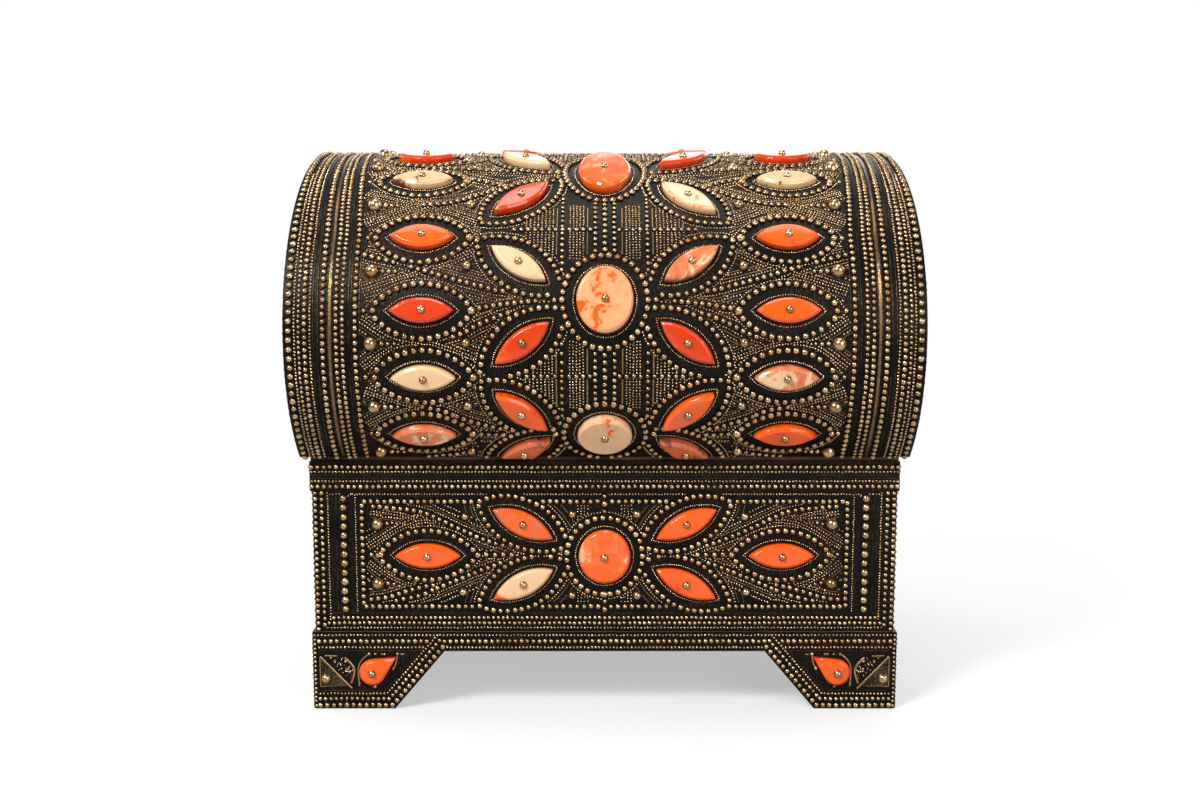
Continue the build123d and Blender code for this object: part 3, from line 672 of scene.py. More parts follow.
def fill_cells(orn, petals):
    """Fine lines, then dotted and chased lines beside the rays that fill what is left of the lid's cells."""
    for line in LID_FINE_LINES:
        fine_line(orn, line)
    for stone in petals:
        if stone.u < 0:
            both_sides(orn.row, walked(stone.ring(10.0), closed=True), *GRAIN, crowding=0.85)
    for line in LID_RAYS + LID_FINE_LINES:
        path = through(*line)
        dotted(orn, path, 2.6, 0.9)
        chased(orn, path, 4.2, 0.45)
        dotted(orn, path, 5.8, 0.98)
        chased(orn, path, 7.2, 0.4)
    for v in np.arange(122.0, crown - 7.0, 2.6):
        orn.row(level(field_half(v) - 2.0, v), *GRAIN, crowding=0.95)


def dress_lid_half(surface, stones, low):
    """Ornament of the front or the back of the barrel, from its lowest place up to the crown."""
    def on_barrel(u, v):
        """True within the border of this half."""
        return (v > low) & (v < crown - 0.6) & (np.abs(u) < lid_end - 1.2)

    orn = Ornament(surface, stones, on_barrel)
    medallions = [stone for stone in stones if stone.shape is oval]
    petals = [stone for stone in stones if stone.shape is lens]
    dress_bands(orn, low)
    for stone in medallions:
        dress_medallion(orn, stone)
    for stone in petals:
        if stone.tilt == 0:
            dress_level_petal(orn, stone)
        else:
            dress_stone(orn, stone, SLANTED_RING, 7.1)
    dress_cells(orn)
    for line in LID_RAYS:
        ray(orn, line)
    for below, bead in ((2.1, RAY), (5.4, GRAIN)):
        orn.row(level(field_half(crown) - 2.0, crown - below), *bead)
    for v in RACKS:
        dress_rack(orn, v, medallions)
    fill_cells(orn, petals)
    return orn


# Lines on the left half of the long and the short sides of the box, with heights above the floor, and
# their single bosses as place and width
PANEL_RAYS = (
    ((-124.0, 112.4), (-110.0, 111.2), (-97.5, 109.2), (-87.6, 104.9), (-78.3, 100.3), (-70.7, 96.8),
     (-61.3, 93.0), (-53.0, 90.4)),
    ((-126.0, 61.1), (-117.5, 62.3), (-107.3, 65.4), (-97.5, 68.2), (-91.0, 69.2)),
    ((-112.5, 60.5), (-100.0, 63.2), (-92.6, 66.3), (-83.5, 70.2), (-74.3, 74.1), (-65.6, 77.6),
     (-56.0, 81.2)),
    ((-63.6, 85.9), (-50.0, 85.9)),
    ((-25.0, 85.4), (-45.0, 85.9)),
)
PANEL_FINE_LINES = (
    ((-126.6, 89.6), (-117.7, 95.2), (-108.8, 100.4), (-99.7, 103.6), (-92.0, 104.0)),
    ((-126.6, 81.6), (-118.5, 75.4), (-109.6, 70.6), (-103.0, 68.6)),
    ((-125.0, 110.4), (-112.0, 108.4), (-101.0, 105.4)),
)
PANEL_STUDS = (
    (-122.0, 102.8, 7.0), (-116.8, 102.8, 2.4), (-114.0, 103.2, 2.0), (-122.2, 70.0, 7.0),
    (-116.8, 70.1, 2.4), (-113.6, 69.6, 2.0), (-75.0, 106.8, 4.6), (-76.3, 65.2, 4.6), (-17.3, 108.0, 4.8),
    (-17.6, 63.1, 4.8), (0.0, 117.8, 2.5), (0.0, 113.9, 3.7), (0.0, 109.6, 2.6), (0.0, 64.0, 3.7),
    (0.0, 59.9, 2.6), (0.0, 55.6, 3.7), (-120.5, 86.0, 3.7), (-125.4, 86.0, 2.4), (-68.4, 85.7, 3.9),
)
END_RAYS = (
    ((-82.0, 112.0), (-66.0, 108.5), (-48.0, 105.0), (-34.0, 99.0), (-26.5, 90.0)),
    ((-82.0, 60.0), (-66.0, 62.5), (-48.0, 65.5), (-34.0, 71.5), (-26.5, 80.5)),
    ((-31.5, 85.4), (-24.0, 85.4)),
    ((-12.0, 110.6), (-24.0, 108.0), (-36.0, 112.5)),
    ((-12.0, 60.0), (-24.0, 62.5), (-36.0, 58.8)),
)
END_STUDS = (
    (-77.5, 104.0, 4.6), (-77.5, 67.5, 4.6), (-41.0, 102.0, 4.0), (-41.0, 68.5, 4.0), (-80.6, 85.5, 3.4),
    (-31.6, 85.5, 3.8), (0.0, 111.5, 3.7), (0.0, 59.2, 3.7),
)


def mirrored_studs(orn, studs):
    """Single bosses on both sides of the middle."""
    for u, v, size in studs:
        for side in (-1, 1) if u else (1,):
            orn.stud(side * u, v, size)


def dress_edges(orn, half_length, wide):
    """Rows of beads along the edges of one side of the box. The long sides have more of them."""
    for u, size, pitch, bottom in ((1.6, 2.7, 3.2, 44.5), (5.0, 2.7, 3.3, 47.0), (8.2, 1.3, 1.5, 50.0)):
        both_sides(orn.row, upright(half_length - u, bottom, box_top - 1.2), size, pitch)
    if wide:
        for u in (10.2, 12.6, 14.4):
            both_sides(orn.wire, upright(half_length - u, 54.5, box_top - 1.6), 0.7)
        both_sides(orn.row, upright(half_length - 16.6, 55.8, 116.8), 5.0, 5.0)
        for u in (19.2, 22.9):
            both_sides(orn.row, upright(half_length - u, 54.6, box_top - 2.4), 1.1, 1.35)
    for v, size, pitch in ((45.2, 1.4, 1.8), (47.9, 2.4, 2.7), (50.9, 2.3, 2.6)):
        orn.row(level(half_length - 6.5, v), size, pitch)
    orn.wire(level(half_length - 9, 53.4), 0.8)
    orn.row(level(half_length - 9, 118.9), 1.2, 1.5)


def fill_panel(orn, rays, fine_lines, low, high):
    """Rays between the stones of one side of the box, and what fills the rest of its frame."""
    for line in rays:
        ray(orn, line)
    for line in fine_lines:
        fine_line(orn, line)
    for stone in orn.stones:
        if stone.u <= 0:
            both_sides(orn.row, walked(stone.ring(9.4), closed=True), *GRAIN, crowding=0.85)
    for line in rays + fine_lines:
        path = through(*line)
        dotted(orn, path, 2.5, 0.9)
        chased(orn, path, 4.0, 0.45)
        dotted(orn, path, 5.5, 0.95)
        dotted(orn, path, 8.2, 0.95)
    for u in (9.0, 10.8, 12.6, 14.4):
        both_sides(orn.row, upright(u, low + 2.5, high - 2.5), 1.1, 1.4, crowding=0.85)
    for reach in (11.2, 14.0):
        for stone in orn.stones:
            if stone.u < 0 and stone.tilt:
                both_sides(orn.stroke, walked(stone.ring(reach), closed=True), 0.45)


def dress_box_wall(surface, stones, half_length):
    """Ornament of one side of the box: its edges, a beaded frame, and what the frame holds."""
    wide = surface.frame_edge == long_frame
    frame_end = surface.frame_edge - frame_width / 2
    low, high = (frame_middle + way * (frame_half_height - frame_width / 2) for way in (-1, 1))

    def on_wall(u, v):
        """True within the border of the wall."""
        return (np.abs(u) < half_length - 0.6) & (v > box_bottom + 0.6) & (v < box_top - 0.6)

    def in_frame(u, v):
        """True within the frame."""
        return on_wall(u, v) & (np.abs(u) < frame_end - 2.0) & (v > low + 2.0) & (v < high - 2.0)

    orn = Ornament(surface, stones, on_wall)
    for stone in stones:
        if stone.shape is oval:
            dress_stone(orn, stone, RING, 6.6)
        elif stone.tilt == 0:
            dress_stone(orn, stone, PETAL_RING, 6.9)
        else:
            dress_stone(orn, stone, SLANTED_RING, 6.6)
    mirrored_studs(orn, PANEL_STUDS if wide else END_STUDS)
    dress_edges(orn, half_length, wide)
    orn.row(rectangle(frame_end, low, high), 3.1, 3.5, closed=True)
    orn.inside = in_frame
    if wide:
        fill_panel(orn, PANEL_RAYS, PANEL_FINE_LINES, low, high)
    else:
        fill_panel(orn, END_RAYS, (), low, high)
    return orn


def emboss_blank(orn, blank):
    """A boss and rows of grains within a petal or medallion that has no stone."""
    orn.stones = [stone for stone in orn.stones if stone is not blank]
    orn.channels = [(stone, reach) for stone, reach in orn.channels if stone is not blank]
    orn.stud(blank.u, blank.v, 10.0 if blank.shape is oval else 6.5)
    for inset in (2.2, 4.6, 7.0):
        if inset < blank.sizes[1] / 2 - 1.5:
            orn.row(blank.ring(-inset), 1.6, 1.9, closed=True)
    orn.stones.append(blank)


def dress_back_wall(surface):
    """Ornament of the box's back, which has bosses where the front has stones."""
    blanks = [Stone(s.shape, s.sizes, s.u, s.v, s.tilt) for s in front_stones]
    orn = dress_box_wall(surface, blanks, box_end)
    for blank in blanks:
        emboss_blank(orn, blank)
    return orn


def dress_rim_wall(surface, half_length):
    """Rows of beads along one side of the rim."""
    orn = Ornament(surface, [], lambda u, v: np.abs(u) < half_length - 0.5)
    for v, size, pitch in ((134.0, 2.8, 3.25), (131.3, 1.6, 1.85), (126.2, 1.6, 1.85), (123.4, 2.8, 3.25)):
        orn.row(level(half_length - 1.2, v), size, pitch)
    for v in (129.6, 127.9):
        orn.wire(level(half_length - 0.5, v), 0.6)
    return orn


# Raised lines round the triangular plate of a foot, from the foot's outer corner: points and width. The
# front feet also have some between the plate and the drop, and small bosses.
FOOT_RIBS = (
    (((0.1, 29.4), (0.2, 12.9)), 0.8),
    (((0.2, 29.6), (17.2, 11.6)), 1.2),
    (((0.3, 12.7), (14.4, 13.3)), 0.7),
    (((2.9, 30.0), (9.6, 29.8)), 0.8),
    (((13.6, 28.9), (17.2, 25.4), (18.9, 21.4), (16.9, 14.6)), 1.5),
)
FRONT_FOOT_RIBS = (
    (((26.7, 31.2), (22.4, 27.0), (20.9, 22.0), (21.3, 12.9)), 1.1),
    (((42.2, 31.0), (41.4, 26.0), (39.6, 22.0)), 1.3),
    (((43.9, 30.8), (46.2, 30.8)), 0.9),
)
FRONT_FOOT_STUDS = (
    (26.9, 31.0, 2.3), (42.3, 30.9, 2.3), (21.3, 14.6, 1.8), (29.8, 12.8, 2.3), (30.3, 31.0, 1.5),
    (33.8, 31.0, 1.4), (35.3, 31.0, 1.4), (40.0, 23.0, 2.0),
)


def dress_plinth_wall(surface, half_length, foot, stones):
    """Rows of beads along one side of the plinth, which follow the outline of the feet."""
    orn = Ornament(surface, stones, lambda u, v: (np.abs(u) < half_length - 0.4) & (v > 0.6))
    toe = half_length - foot
    slope = math.hypot(foot_slant, arch_height)

    def along_foot(offset, start):
        """Path round the left foot, inside its outline, from its outer edge to the arch's top."""
        shift = offset * slope / arch_height
        corner = toe + shift - offset * foot_slant / arch_height
        top = toe + shift - (arch_height + offset) * foot_slant / arch_height
        return ((-half_length + start, offset), (-corner, offset), (-top, arch_height + offset))

    for offset, size, pitch in ((2.4, 3.2, 3.5), (5.9, 2.5, 2.8), (8.7, 1.6, 1.9)):
        both_sides(orn.row, along_foot(offset, 3.6), size, pitch)
    for inset, v, size, pitch in ((3.6, 38.3, 2.9, 3.2), (3.4, 34.7, 1.6, 1.95), (1.2, 41.5, 1.5, 1.9)):
        orn.row(level(half_length - inset, v), size, pitch)
    both_sides(orn.row, upright(half_length - 1.3, 2.0, 39.0), 1.8, 2.4)
    orn.wire(level(half_length - 4.2, 32.9), 0.8)
    both_sides(orn.wire, along_foot(10.4, 4.2), 0.7)
    both_sides(orn.wire, upright(half_length - 3.4, 10.4, 32.5), 0.8)

    corner = half_length - 3.6
    mirrored_studs(orn, [(3.5 - corner, 17.4, 5.9 if stones else 4.6)])
    for line, width in FOOT_RIBS + (FRONT_FOOT_RIBS if stones else ()):
        path = through(*line) if len(line) > 2 else line
        both_sides(orn.rib, np.asarray(path, float) - (corner, 0.0), width)
    if stones:
        mirrored_studs(orn, [(u - corner, v, size) for u, v, size in FRONT_FOOT_STUDS])

    # Granulation on the plate, between its slanted side and a circle
    grains = np.random.default_rng(5)
    for u, v in zip(grains.uniform(5.5, 18.0, 90), grains.uniform(13.5, 29.0, 90)):
        if u + 1.06 * v > 33.6 and math.hypot(u - 8.0, v - 19.5) < 10.4:
            mirrored_studs(orn, [(u - corner, v, grains.uniform(0.6, 1.2))])
    return orn


# Gables, measured from the medallion: bare embossed petals as place, tilt and sizes, then lines of the
# left half, and bosses
GABLE_BLANKS = (
    (-52.0, 38.0, -36.0, (44.0, 14.0)), (52.0, 38.0, 36.0, (44.0, 14.0)), (-48.0, -36.5, 37.0, (40.0, 13.5)),
    (48.0, -36.5, -37.0, (40.0, 13.5)), (0.0, 50.5, 90.0, (30.0, 12.0)), (0.0, -44.0, 90.0, (22.0, 10.5)),
)
GABLE_RAYS = (
    ((-28.0, 9.0), (-42.0, 17.0), (-60.0, 20.5), (-80.0, 22.0), (-98.0, 30.0)),
    ((-28.0, -9.0), (-42.0, -17.0), (-60.0, -20.0), (-80.0, -21.5), (-100.0, -28.0)),
    ((-15.0, 23.0), (-22.0, 34.0), (-29.0, 48.0), (-36.0, 66.0)),
    ((-15.0, -23.0), (-22.0, -34.0), (-28.0, -46.0), (-34.0, -58.0)),
    ((-96.0, 0.0), (-112.0, 0.0)),
)
GABLE_STUDS = (
    (-101.0, 15.0, 5.2), (-101.0, -13.0, 5.2), (-84.0, 33.5, 4.4), (-84.0, -34.0, 4.4), (-18.5, 64.0, 4.4),
    (-17.0, -56.0, 4.4), (-56.0, 62.0, 4.4), (-30.5, 0.0, 3.7),
)


def dress_gable(surface):
    """Ornament of one end of the lid: rows that follow its oval outline, round a medallion and petals."""
    def within(u, v):
        """True within the outline of the lid's end."""
        reach = np.hypot(u / (lid_half_depth - 1.5), (v - lid_centre) / (lid_half_height - 1.5))
        return (reach < 1) & (v > lid_edge + 1.0)

    blanks = [Stone(lens, sizes, u, GABLE_HEIGHT + v, tilt) for u, v, tilt, sizes in GABLE_BLANKS]
    orn = Ornament(surface, gable_stones + blanks, within)

    def rim_row(inset):
        """Path that follows the lid's outline at a distance inside it."""
        angles = np.linspace(-math.radians(42), math.radians(222), 200)
        depth, height = lid_half_depth - inset, lid_half_height - inset
        return np.column_stack((depth * np.cos(angles), lid_centre + height * np.sin(angles)))

    for inset, size, pitch in ((2.8, 2.9, 3.7), (5.8, 1.3, 1.7), (8.4, 2.3, 3.0), (11.4, 1.3, 1.7)):
        orn.row(rim_row(inset), size, pitch)
    for inset in (4.4, 13.2):
        orn.wire(rim_row(inset), 0.7)
    for v, size, pitch in ((lid_edge + 2.8, 2.6, 3.4), (lid_edge + 5.8, 1.3, 1.7)):
        orn.row(level(95.0, v), size, pitch)
    for stone in orn.stones:
        dress_stone(orn, stone, RING if stone.shape is oval else PETAL_RING, 7.0)
    mirrored_studs(orn, [(u, GABLE_HEIGHT + v, size) for u, v, size in GABLE_STUDS])
    rays = [[(u, GABLE_HEIGHT + v) for u, v in line] for line in GABLE_RAYS]
    for line in rays:
        ray(orn, line)
    for line in rays:
        dotted(orn, through(*line), 2.5, 0.9)
    for stone in orn.stones:
        orn.row(stone.ring(9.8), *GRAIN, closed=True, crowding=0.85)
    for inset in np.arange(16.4, 80.0, 2.9):
        orn.row(rim_row(inset), *GRAIN, crowding=0.95)
    for blank in blanks:
        emboss_blank(orn, blank)
    return orn


# ------------------------------------------------------------------ node trees
class Amount:
    """A number in a node tree. Python's operators on it add Math nodes."""

    def __init__(self, net, socket):
        self.net, self.socket = net, socket

    def math(self, operation, *others):
        """This number and others through one Math node."""
        values = {number: value for number, value in enumerate((self, *others))}
        return self.net.amount("ShaderNodeMath", {"operation": operation}, values)

    def __add__(self, other):
        return self.math("ADD", other)

    __radd__ = __add__

    def __mul__(self, other):
        return self.math("MULTIPLY", other)

    def __sub__(self, other):
        return self.math("SUBTRACT", other)

    def __rsub__(self, other):
        return self.net.amount("ShaderNodeMath", {"operation": "SUBTRACT"}, {0: other, 1: self})

    def between(self, low, high):
        """0 below low, 1 above high, smooth between."""
        return self.net.amount(
            "ShaderNodeMapRange", {"interpolation_type": "SMOOTHSTEP"}, {0: self, 1: low, 2: high}
        )


class Net:
    """A node tree under construction, of a material or of geometry."""

    def __init__(self, tree):
        self.tree = tree

    def node(self, kind, settings=None, values=None):
        """A node of a kind: its settings first, then the values or links of its sockets."""
        made = self.tree.nodes.new(kind)
        for name, setting in (settings or {}).items():
            setattr(made, name, setting)
        for key, value in (values or {}).items():
            self.join(made.inputs[key], value)
        return made

    def join(self, socket, value):
        """Set a socket to a number, colour or vector, or link it."""
        if isinstance(value, Amount):
            value = value.socket
        if isinstance(value, bpy.types.NodeSocket):
            self.tree.links.new(value, socket)
        else:
            socket.default_value = value

    def amount(self, kind, settings=None, values=None, output=0):
        """The number that a new node gives."""
        return Amount(self, self.node(kind, settings, values).outputs[output])

    def mixed(self, share, first, second):
        """Two colours mixed."""
        return self.node("ShaderNodeMix", {"data_type": "RGBA"}, {0: share, 6: first, 7: second}).outputs[2]


def geometry_tree(name, inputs):
    """An empty geometry tree with named inputs, as a Net, with its group input and output."""
    tree = bpy.data.node_groups.new(name, "GeometryNodeTree")
    tree.interface.new_socket("Geometry", in_out="INPUT", socket_type="NodeSocketGeometry")
    for label, kind, default in inputs:
        socket = tree.interface.new_socket(label, in_out="INPUT", socket_type=f"NodeSocket{kind}")
        if default is not None:
            socket.default_value = default
    tree.interface.new_socket("Geometry", in_out="OUTPUT", socket_type="NodeSocketGeometry")
    net = Net(tree)
    return net, net.node("NodeGroupInput"), net.node("NodeGroupOutput")


def named(net, name, kind="FLOAT"):
    """A named attribute of the geometry."""
    return net.node("GeometryNodeInputNamedAttribute", {"data_type": kind}, {"Name": name}).outputs[0]


def random_number(net, given, low=0.0, high=1.0):
    """A random number for each bead, between two bounds."""
    return net.amount(
        "FunctionNodeRandomValue", {"data_type": "FLOAT"}, {2: low, 3: high, "Seed": given.outputs["Seed"]}, 1
    )


def stored(net, geometry, domain, label, value):
    """The geometry with a value stored on it under a name."""
    return net.node("GeometryNodeStoreNamedAttribute", {"domain": domain}, {
        "Geometry": geometry, "Name": label, "Value": value
    }).outputs[0]


def realized(net, given, geometry):
    """The geometry made real and given its material."""
    real = net.node("GeometryNodeRealizeInstances", None, {"Geometry": geometry})
    return net.node("GeometryNodeSetMaterial", None, {
        "Geometry": real.outputs[0], "Material": given.outputs["Metal"]
    }).outputs[0]


def smoothed(net, geometry):
    """The geometry shaded smooth."""
    return net.node("GeometryNodeSetShadeSmooth", None, {"Geometry": geometry}).outputs[0]


def bead_dome(net, given):
    """Upper part of a ball of unit width, with its height on it as the attribute rise."""
    ball = net.node("GeometryNodeMeshUVSphere", None, {
        "Segments": given.outputs["Segments"], "Rings": given.outputs["Rings"], "Radius": 0.5
    })
    place = net.node("ShaderNodeSeparateXYZ", None, {0: net.node("GeometryNodeInputPosition").outputs[0]})
    height = Amount(net, place.outputs["Z"])
    dome = net.node("GeometryNodeDeleteGeometry", {"domain": "POINT"}, {
        "Geometry": ball.outputs["Mesh"], "Selection": height.math("LESS_THAN", -0.1).socket
    })
    # The metal's finish paints shade on the low part of each dome by this rise, and shows brass on its top.
    return smoothed(net, stored(net, dome.outputs[0], "POINT", "rise", height * 2.0))


def bead_instances(net, given, points):
    """Domes on points, facing outwards, each a little different."""
    variation = Amount(net, given.outputs["Variation"])
    swell = random_number(net, given, 1.0 - variation, 1.0 + variation)
    size = Amount(net, named(net, "size")) * swell
    height = size * Amount(net, given.outputs["Fullness"])
    scale = net.node("ShaderNodeCombineXYZ", None, {0: size, 1: size, 2: height})
    upright_bead = net.node("FunctionNodeAlignRotationToVector", {"axis": "Z"}, {
        "Vector": named(net, "facing", "FLOAT_VECTOR")
    })
    turn = net.node("FunctionNodeAxisAngleToRotation", None, {
        "Axis": (0.0, 0.0, 1.0), "Angle": random_number(net, given, 0.0, 6.283)
    })
    rotation = net.node("FunctionNodeRotateRotation", {"rotation_space": "LOCAL"}, {
        0: upright_bead.outputs[0], 1: turn.outputs[0]
    })
    placed = net.node("GeometryNodeInstanceOnPoints", None, {
        "Points": points, "Instance": bead_dome(net, given), "Rotation": rotation.outputs[0],
        "Scale": scale.outputs[0]
    })
    return stored(net, placed.outputs[0], "INSTANCE", "tone", random_number(net, given))


BEAD_INPUTS = (
    ("Segments", "Int", 8), ("Rings", "Int", 6), ("Fullness", "Float", 1.1), ("Variation", "Float", 0.08),
    ("Scatter", "Float", 0.0001), ("Seed", "Int", 1), ("Metal", "Material", None),
)


def set_domes(net, given, result, points):
    """Scatter points a little and set a dome on each."""
    scatter = Amount(net, given.outputs["Scatter"])
    shift = net.node("FunctionNodeRandomValue", {"data_type": "FLOAT_VECTOR"}, {
        0: (-1.0, -1.0, -1.0), 1: (1.0, 1.0, 1.0), "Seed": given.outputs["Seed"]
    })
    offset = net.node("ShaderNodeVectorMath", {"operation": "SCALE"}, {0: shift.outputs[0], "Scale": scatter})
    moved = net.node("GeometryNodeSetPosition", None, {"Geometry": points, "Offset": offset.outputs[0]})
    net.join(result.inputs[0], realized(net, given, bead_instances(net, given, moved.outputs[0])))
    return net.tree


def make_bead_rows_tree():
    """The tree for rows of beads."""
    net, given, result = geometry_tree("Bead rows", BEAD_INPUTS)
    paths = net.node("GeometryNodeMeshToCurve", None, {"Mesh": given.outputs["Geometry"]})
    spaced = net.node("GeometryNodeResampleCurve", {"mode": "LENGTH"}, {
        "Curve": paths.outputs[0], "Length": named(net, "pitch")
    })
    return set_domes(net, given, result, spaced.outputs[0])


def make_studs_tree():
    """The tree for single domes, one on each vertex."""
    net, given, result = geometry_tree("Single domes", BEAD_INPUTS)
    return set_domes(net, given, result, given.outputs["Geometry"])


def make_wires_tree():
    """The tree for raised lines: a round section swept along paths."""
    net, given, result = geometry_tree("Raised wires", (("Sides", "Int", 6), ("Metal", "Material", None)))
    paths = net.node("GeometryNodeMeshToCurve", None, {"Mesh": given.outputs["Geometry"]})
    radius = Amount(net, named(net, "size")) * 0.5
    sized = net.node("GeometryNodeSetCurveRadius", None, {"Curve": paths.outputs[0], "Radius": radius})
    section = net.node("GeometryNodeCurvePrimitiveCircle", None, {
        "Resolution": given.outputs["Sides"], "Radius": 1.0
    })
    swept = net.node("GeometryNodeCurveToMesh", None, {
        "Curve": sized.outputs[0], "Profile Curve": section.outputs[0]
    })
    if "Scale" in swept.inputs:
        net.join(swept.inputs["Scale"], radius)
    # Rise is how far each face looks outwards. The metal's finish uses it to paint shade on the sides of the
    # wire, below the brass on its top.
    rise = net.amount("ShaderNodeVectorMath", {"operation": "DOT_PRODUCT"}, {
        0: net.node("GeometryNodeInputNormal").outputs[0], 1: named(net, "facing", "FLOAT_VECTOR")
    }, "Value")
    raised = stored(net, swept.outputs[0], "POINT", "rise", rise)
    net.join(result.inputs[0], realized(net, given, smoothed(net, raised)))
    return net.tree


def put_attribute(mesh, label, kind, values):
    """Store an attribute on the points of a mesh."""
    field = {"FLOAT": "value", "FLOAT_VECTOR": "vector", "FLOAT_COLOR": "color"}[kind]
    data = np.array(values, np.float32).ravel()
    mesh.attributes.new(label, kind, "POINT").data.foreach_set(field, data)


def grown(name, rows, tree, body, **inputs):
    """Run a tree on rows of paths and keep the result as a plain mesh that rides on a body."""
    points, facings, sizes, pitches, edges = [], [], [], [], []
    count = 0
    for surface, (path, size, pitch, closed, lift) in rows:
        place, _, _, facing = surface.seat(path[:, 0], path[:, 1])
        place = place + facing * (lift - surface.sink * size)
        points.append(place * MM)
        facings.append(facing)
        sizes.append(np.full(len(path), size * MM))
        pitches.append(np.full(len(path), pitch * MM))
        ring = np.arange(count, count + len(path))
        edges += list(zip(ring[:-1].tolist(), ring[1:].tolist()))
        if closed:
            edges.append((int(ring[-1]), int(ring[0])))
        count += len(path)
    mesh = bpy.data.meshes.new(f"{name}_paths")
    mesh.from_pydata(np.vstack(points).tolist(), edges, [])
    put_attribute(mesh, "facing", "FLOAT_VECTOR", np.vstack(facings))
    put_attribute(mesh, "size", "FLOAT", np.concatenate(sizes))
    put_attribute(mesh, "pitch", "FLOAT", np.concatenate(pitches))
    source = bpy.data.objects.new(f"{name}_paths", mesh)
    bpy.context.scene.collection.objects.link(source)
    modifier = source.modifiers.new("Grow", "NODES")
    modifier.node_group = tree
    for item in tree.interface.items_tree:
        if item.item_type == "SOCKET" and item.in_out == "INPUT" and item.name in inputs:
            modifier[item.identifier] = inputs[item.name]
    graph = bpy.context.evaluated_depsgraph_get()
    result = bpy.data.meshes.new_from_object(source.evaluated_get(graph), depsgraph=graph)
    bpy.data.objects.remove(source)
    if not result.polygons:
        raise RuntimeError(f"{name} came out empty")
    result.name = name
    piece = bpy.data.objects.new(name, result)
    bpy.context.scene.collection.objects.link(piece)
    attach(piece, body)


# ------------------------------------------------------------------ materials
def new_material(name):
    """An empty material, as a Net, with its output node."""
    material = bpy.data.materials.new(name)
    material.use_nodes = True
    material.node_tree.nodes.clear()
    net = Net(material.node_tree)
    return material, net, net.node("ShaderNodeOutputMaterial")


def colour4(colour):
    """A colour with its alpha."""
    return (*colour[:3], 1.0)


def noise(net, where, scale, detail, **more):
    """Noise of a scale and detail at a place."""
    return net.amount("ShaderNodeTexNoise", None, {"Vector": where, "Scale": scale, "Detail": detail, **more})


def painted(net, name):
    """A number that is stored on the mesh."""
    return net.amount("ShaderNodeAttribute", {"attribute_name": name}, output=2)


def painted_colour(net, name):
    """A colour that is stored on the mesh."""
    return net.node("ShaderNodeAttribute", {"attribute_name": name}).outputs["Color"]


def finish_surface(net, output, values):
    """Give the material one shader with these values."""
    skin = net.node("ShaderNodeBsdfPrincipled", None, values)
    net.join(output.inputs["Surface"], skin.outputs[0])


def embossed_metal(name, settings, rise_shift=0.0, unevenness=0.5):
    """Blackened sheet metal, worn to brass where it stands proud, with painted shade in the patina colour on
    the lower sides of beads and wires. A rise shift shows more or less brass, and so less or more painted
    shade.
    """
    material, net, output = new_material(name)
    where = net.node("ShaderNodeTexCoord").outputs["Object"]
    rise = painted(net, "rise") + rise_shift
    tone = painted(net, "tone")
    cloud = noise(net, where, 60.0, 3.0)
    grit = noise(net, where, 900.0, 2.0)
    # Brass on the tops is real wear. The patina colour that a low rise gives the lower sides of beads and
    # wires is painted shade, standing in for the occlusion between them.
    wear_and_base_shade = (rise + (grit - 0.5) * unevenness + (cloud - 0.5) * 0.4).between(0.3, 0.85)
    pits = net.amount("ShaderNodeTexVoronoi", {"feature": "F1"}, {"Vector": where, "Scale": 750.0})
    flecks = (1.0 - pits.between(0.1, 0.5)) * cloud.between(0.35, 0.65) * (1.0 - rise.between(0.0, 0.1))
    brass = net.mixed(tone, colour4(settings.brass), colour4(settings.pale_brass))
    brass = net.mixed(cloud.between(0.4, 0.75), brass, colour4(settings.dull_brass))
    shade = net.mixed((wear_and_base_shade + flecks * 0.12).math("MINIMUM", 1.0), colour4(settings.patina), brass)
    rough = 0.42 - wear_and_base_shade * 0.2 + (grit - 0.5) * 0.16
    bump = net.node("ShaderNodeBump", None, {
        "Strength": unevenness, "Distance": 0.0004, "Height": grit * 0.5 + (1.0 - pits) * 0.5 * (1.0 - wear_and_base_shade)
    })
    finish_surface(net, output, {
        "Base Color": shade, "Roughness": rough, "Metallic": 0.85 + wear_and_base_shade * 0.15, "Normal": bump.outputs[0]
    })
    return material


def polished_stone():
    """Polished stone whose body, veins and their share are painted on each cabochon."""
    material, net, output = new_material("polished_stone")
    where = net.node("ShaderNodeTexCoord").outputs["Object"]
    large = noise(net, where, 85.0, 4.0, Roughness=0.6, Distortion=0.6)
    fine = noise(net, where, 420.0, 3.0)
    level_of_veins = large + (fine - 0.5) * 0.12 + (painted(net, "share") - 0.5) * 0.42
    blotch = level_of_veins.between(0.5, 0.57)
    halo = level_of_veins.between(0.36, 0.6) * 0.35
    shade = net.mixed(blotch.math("MAXIMUM", halo), painted_colour(net, "body"), painted_colour(net, "fleck"))
    finish_surface(net, output, {
        "Base Color": shade, "Roughness": 0.17 + (fine - 0.5) * 0.1, "Specular IOR Level": 0.3,
        "Coat Weight": 0.6, "Coat Roughness": 0.05
    })
    return material


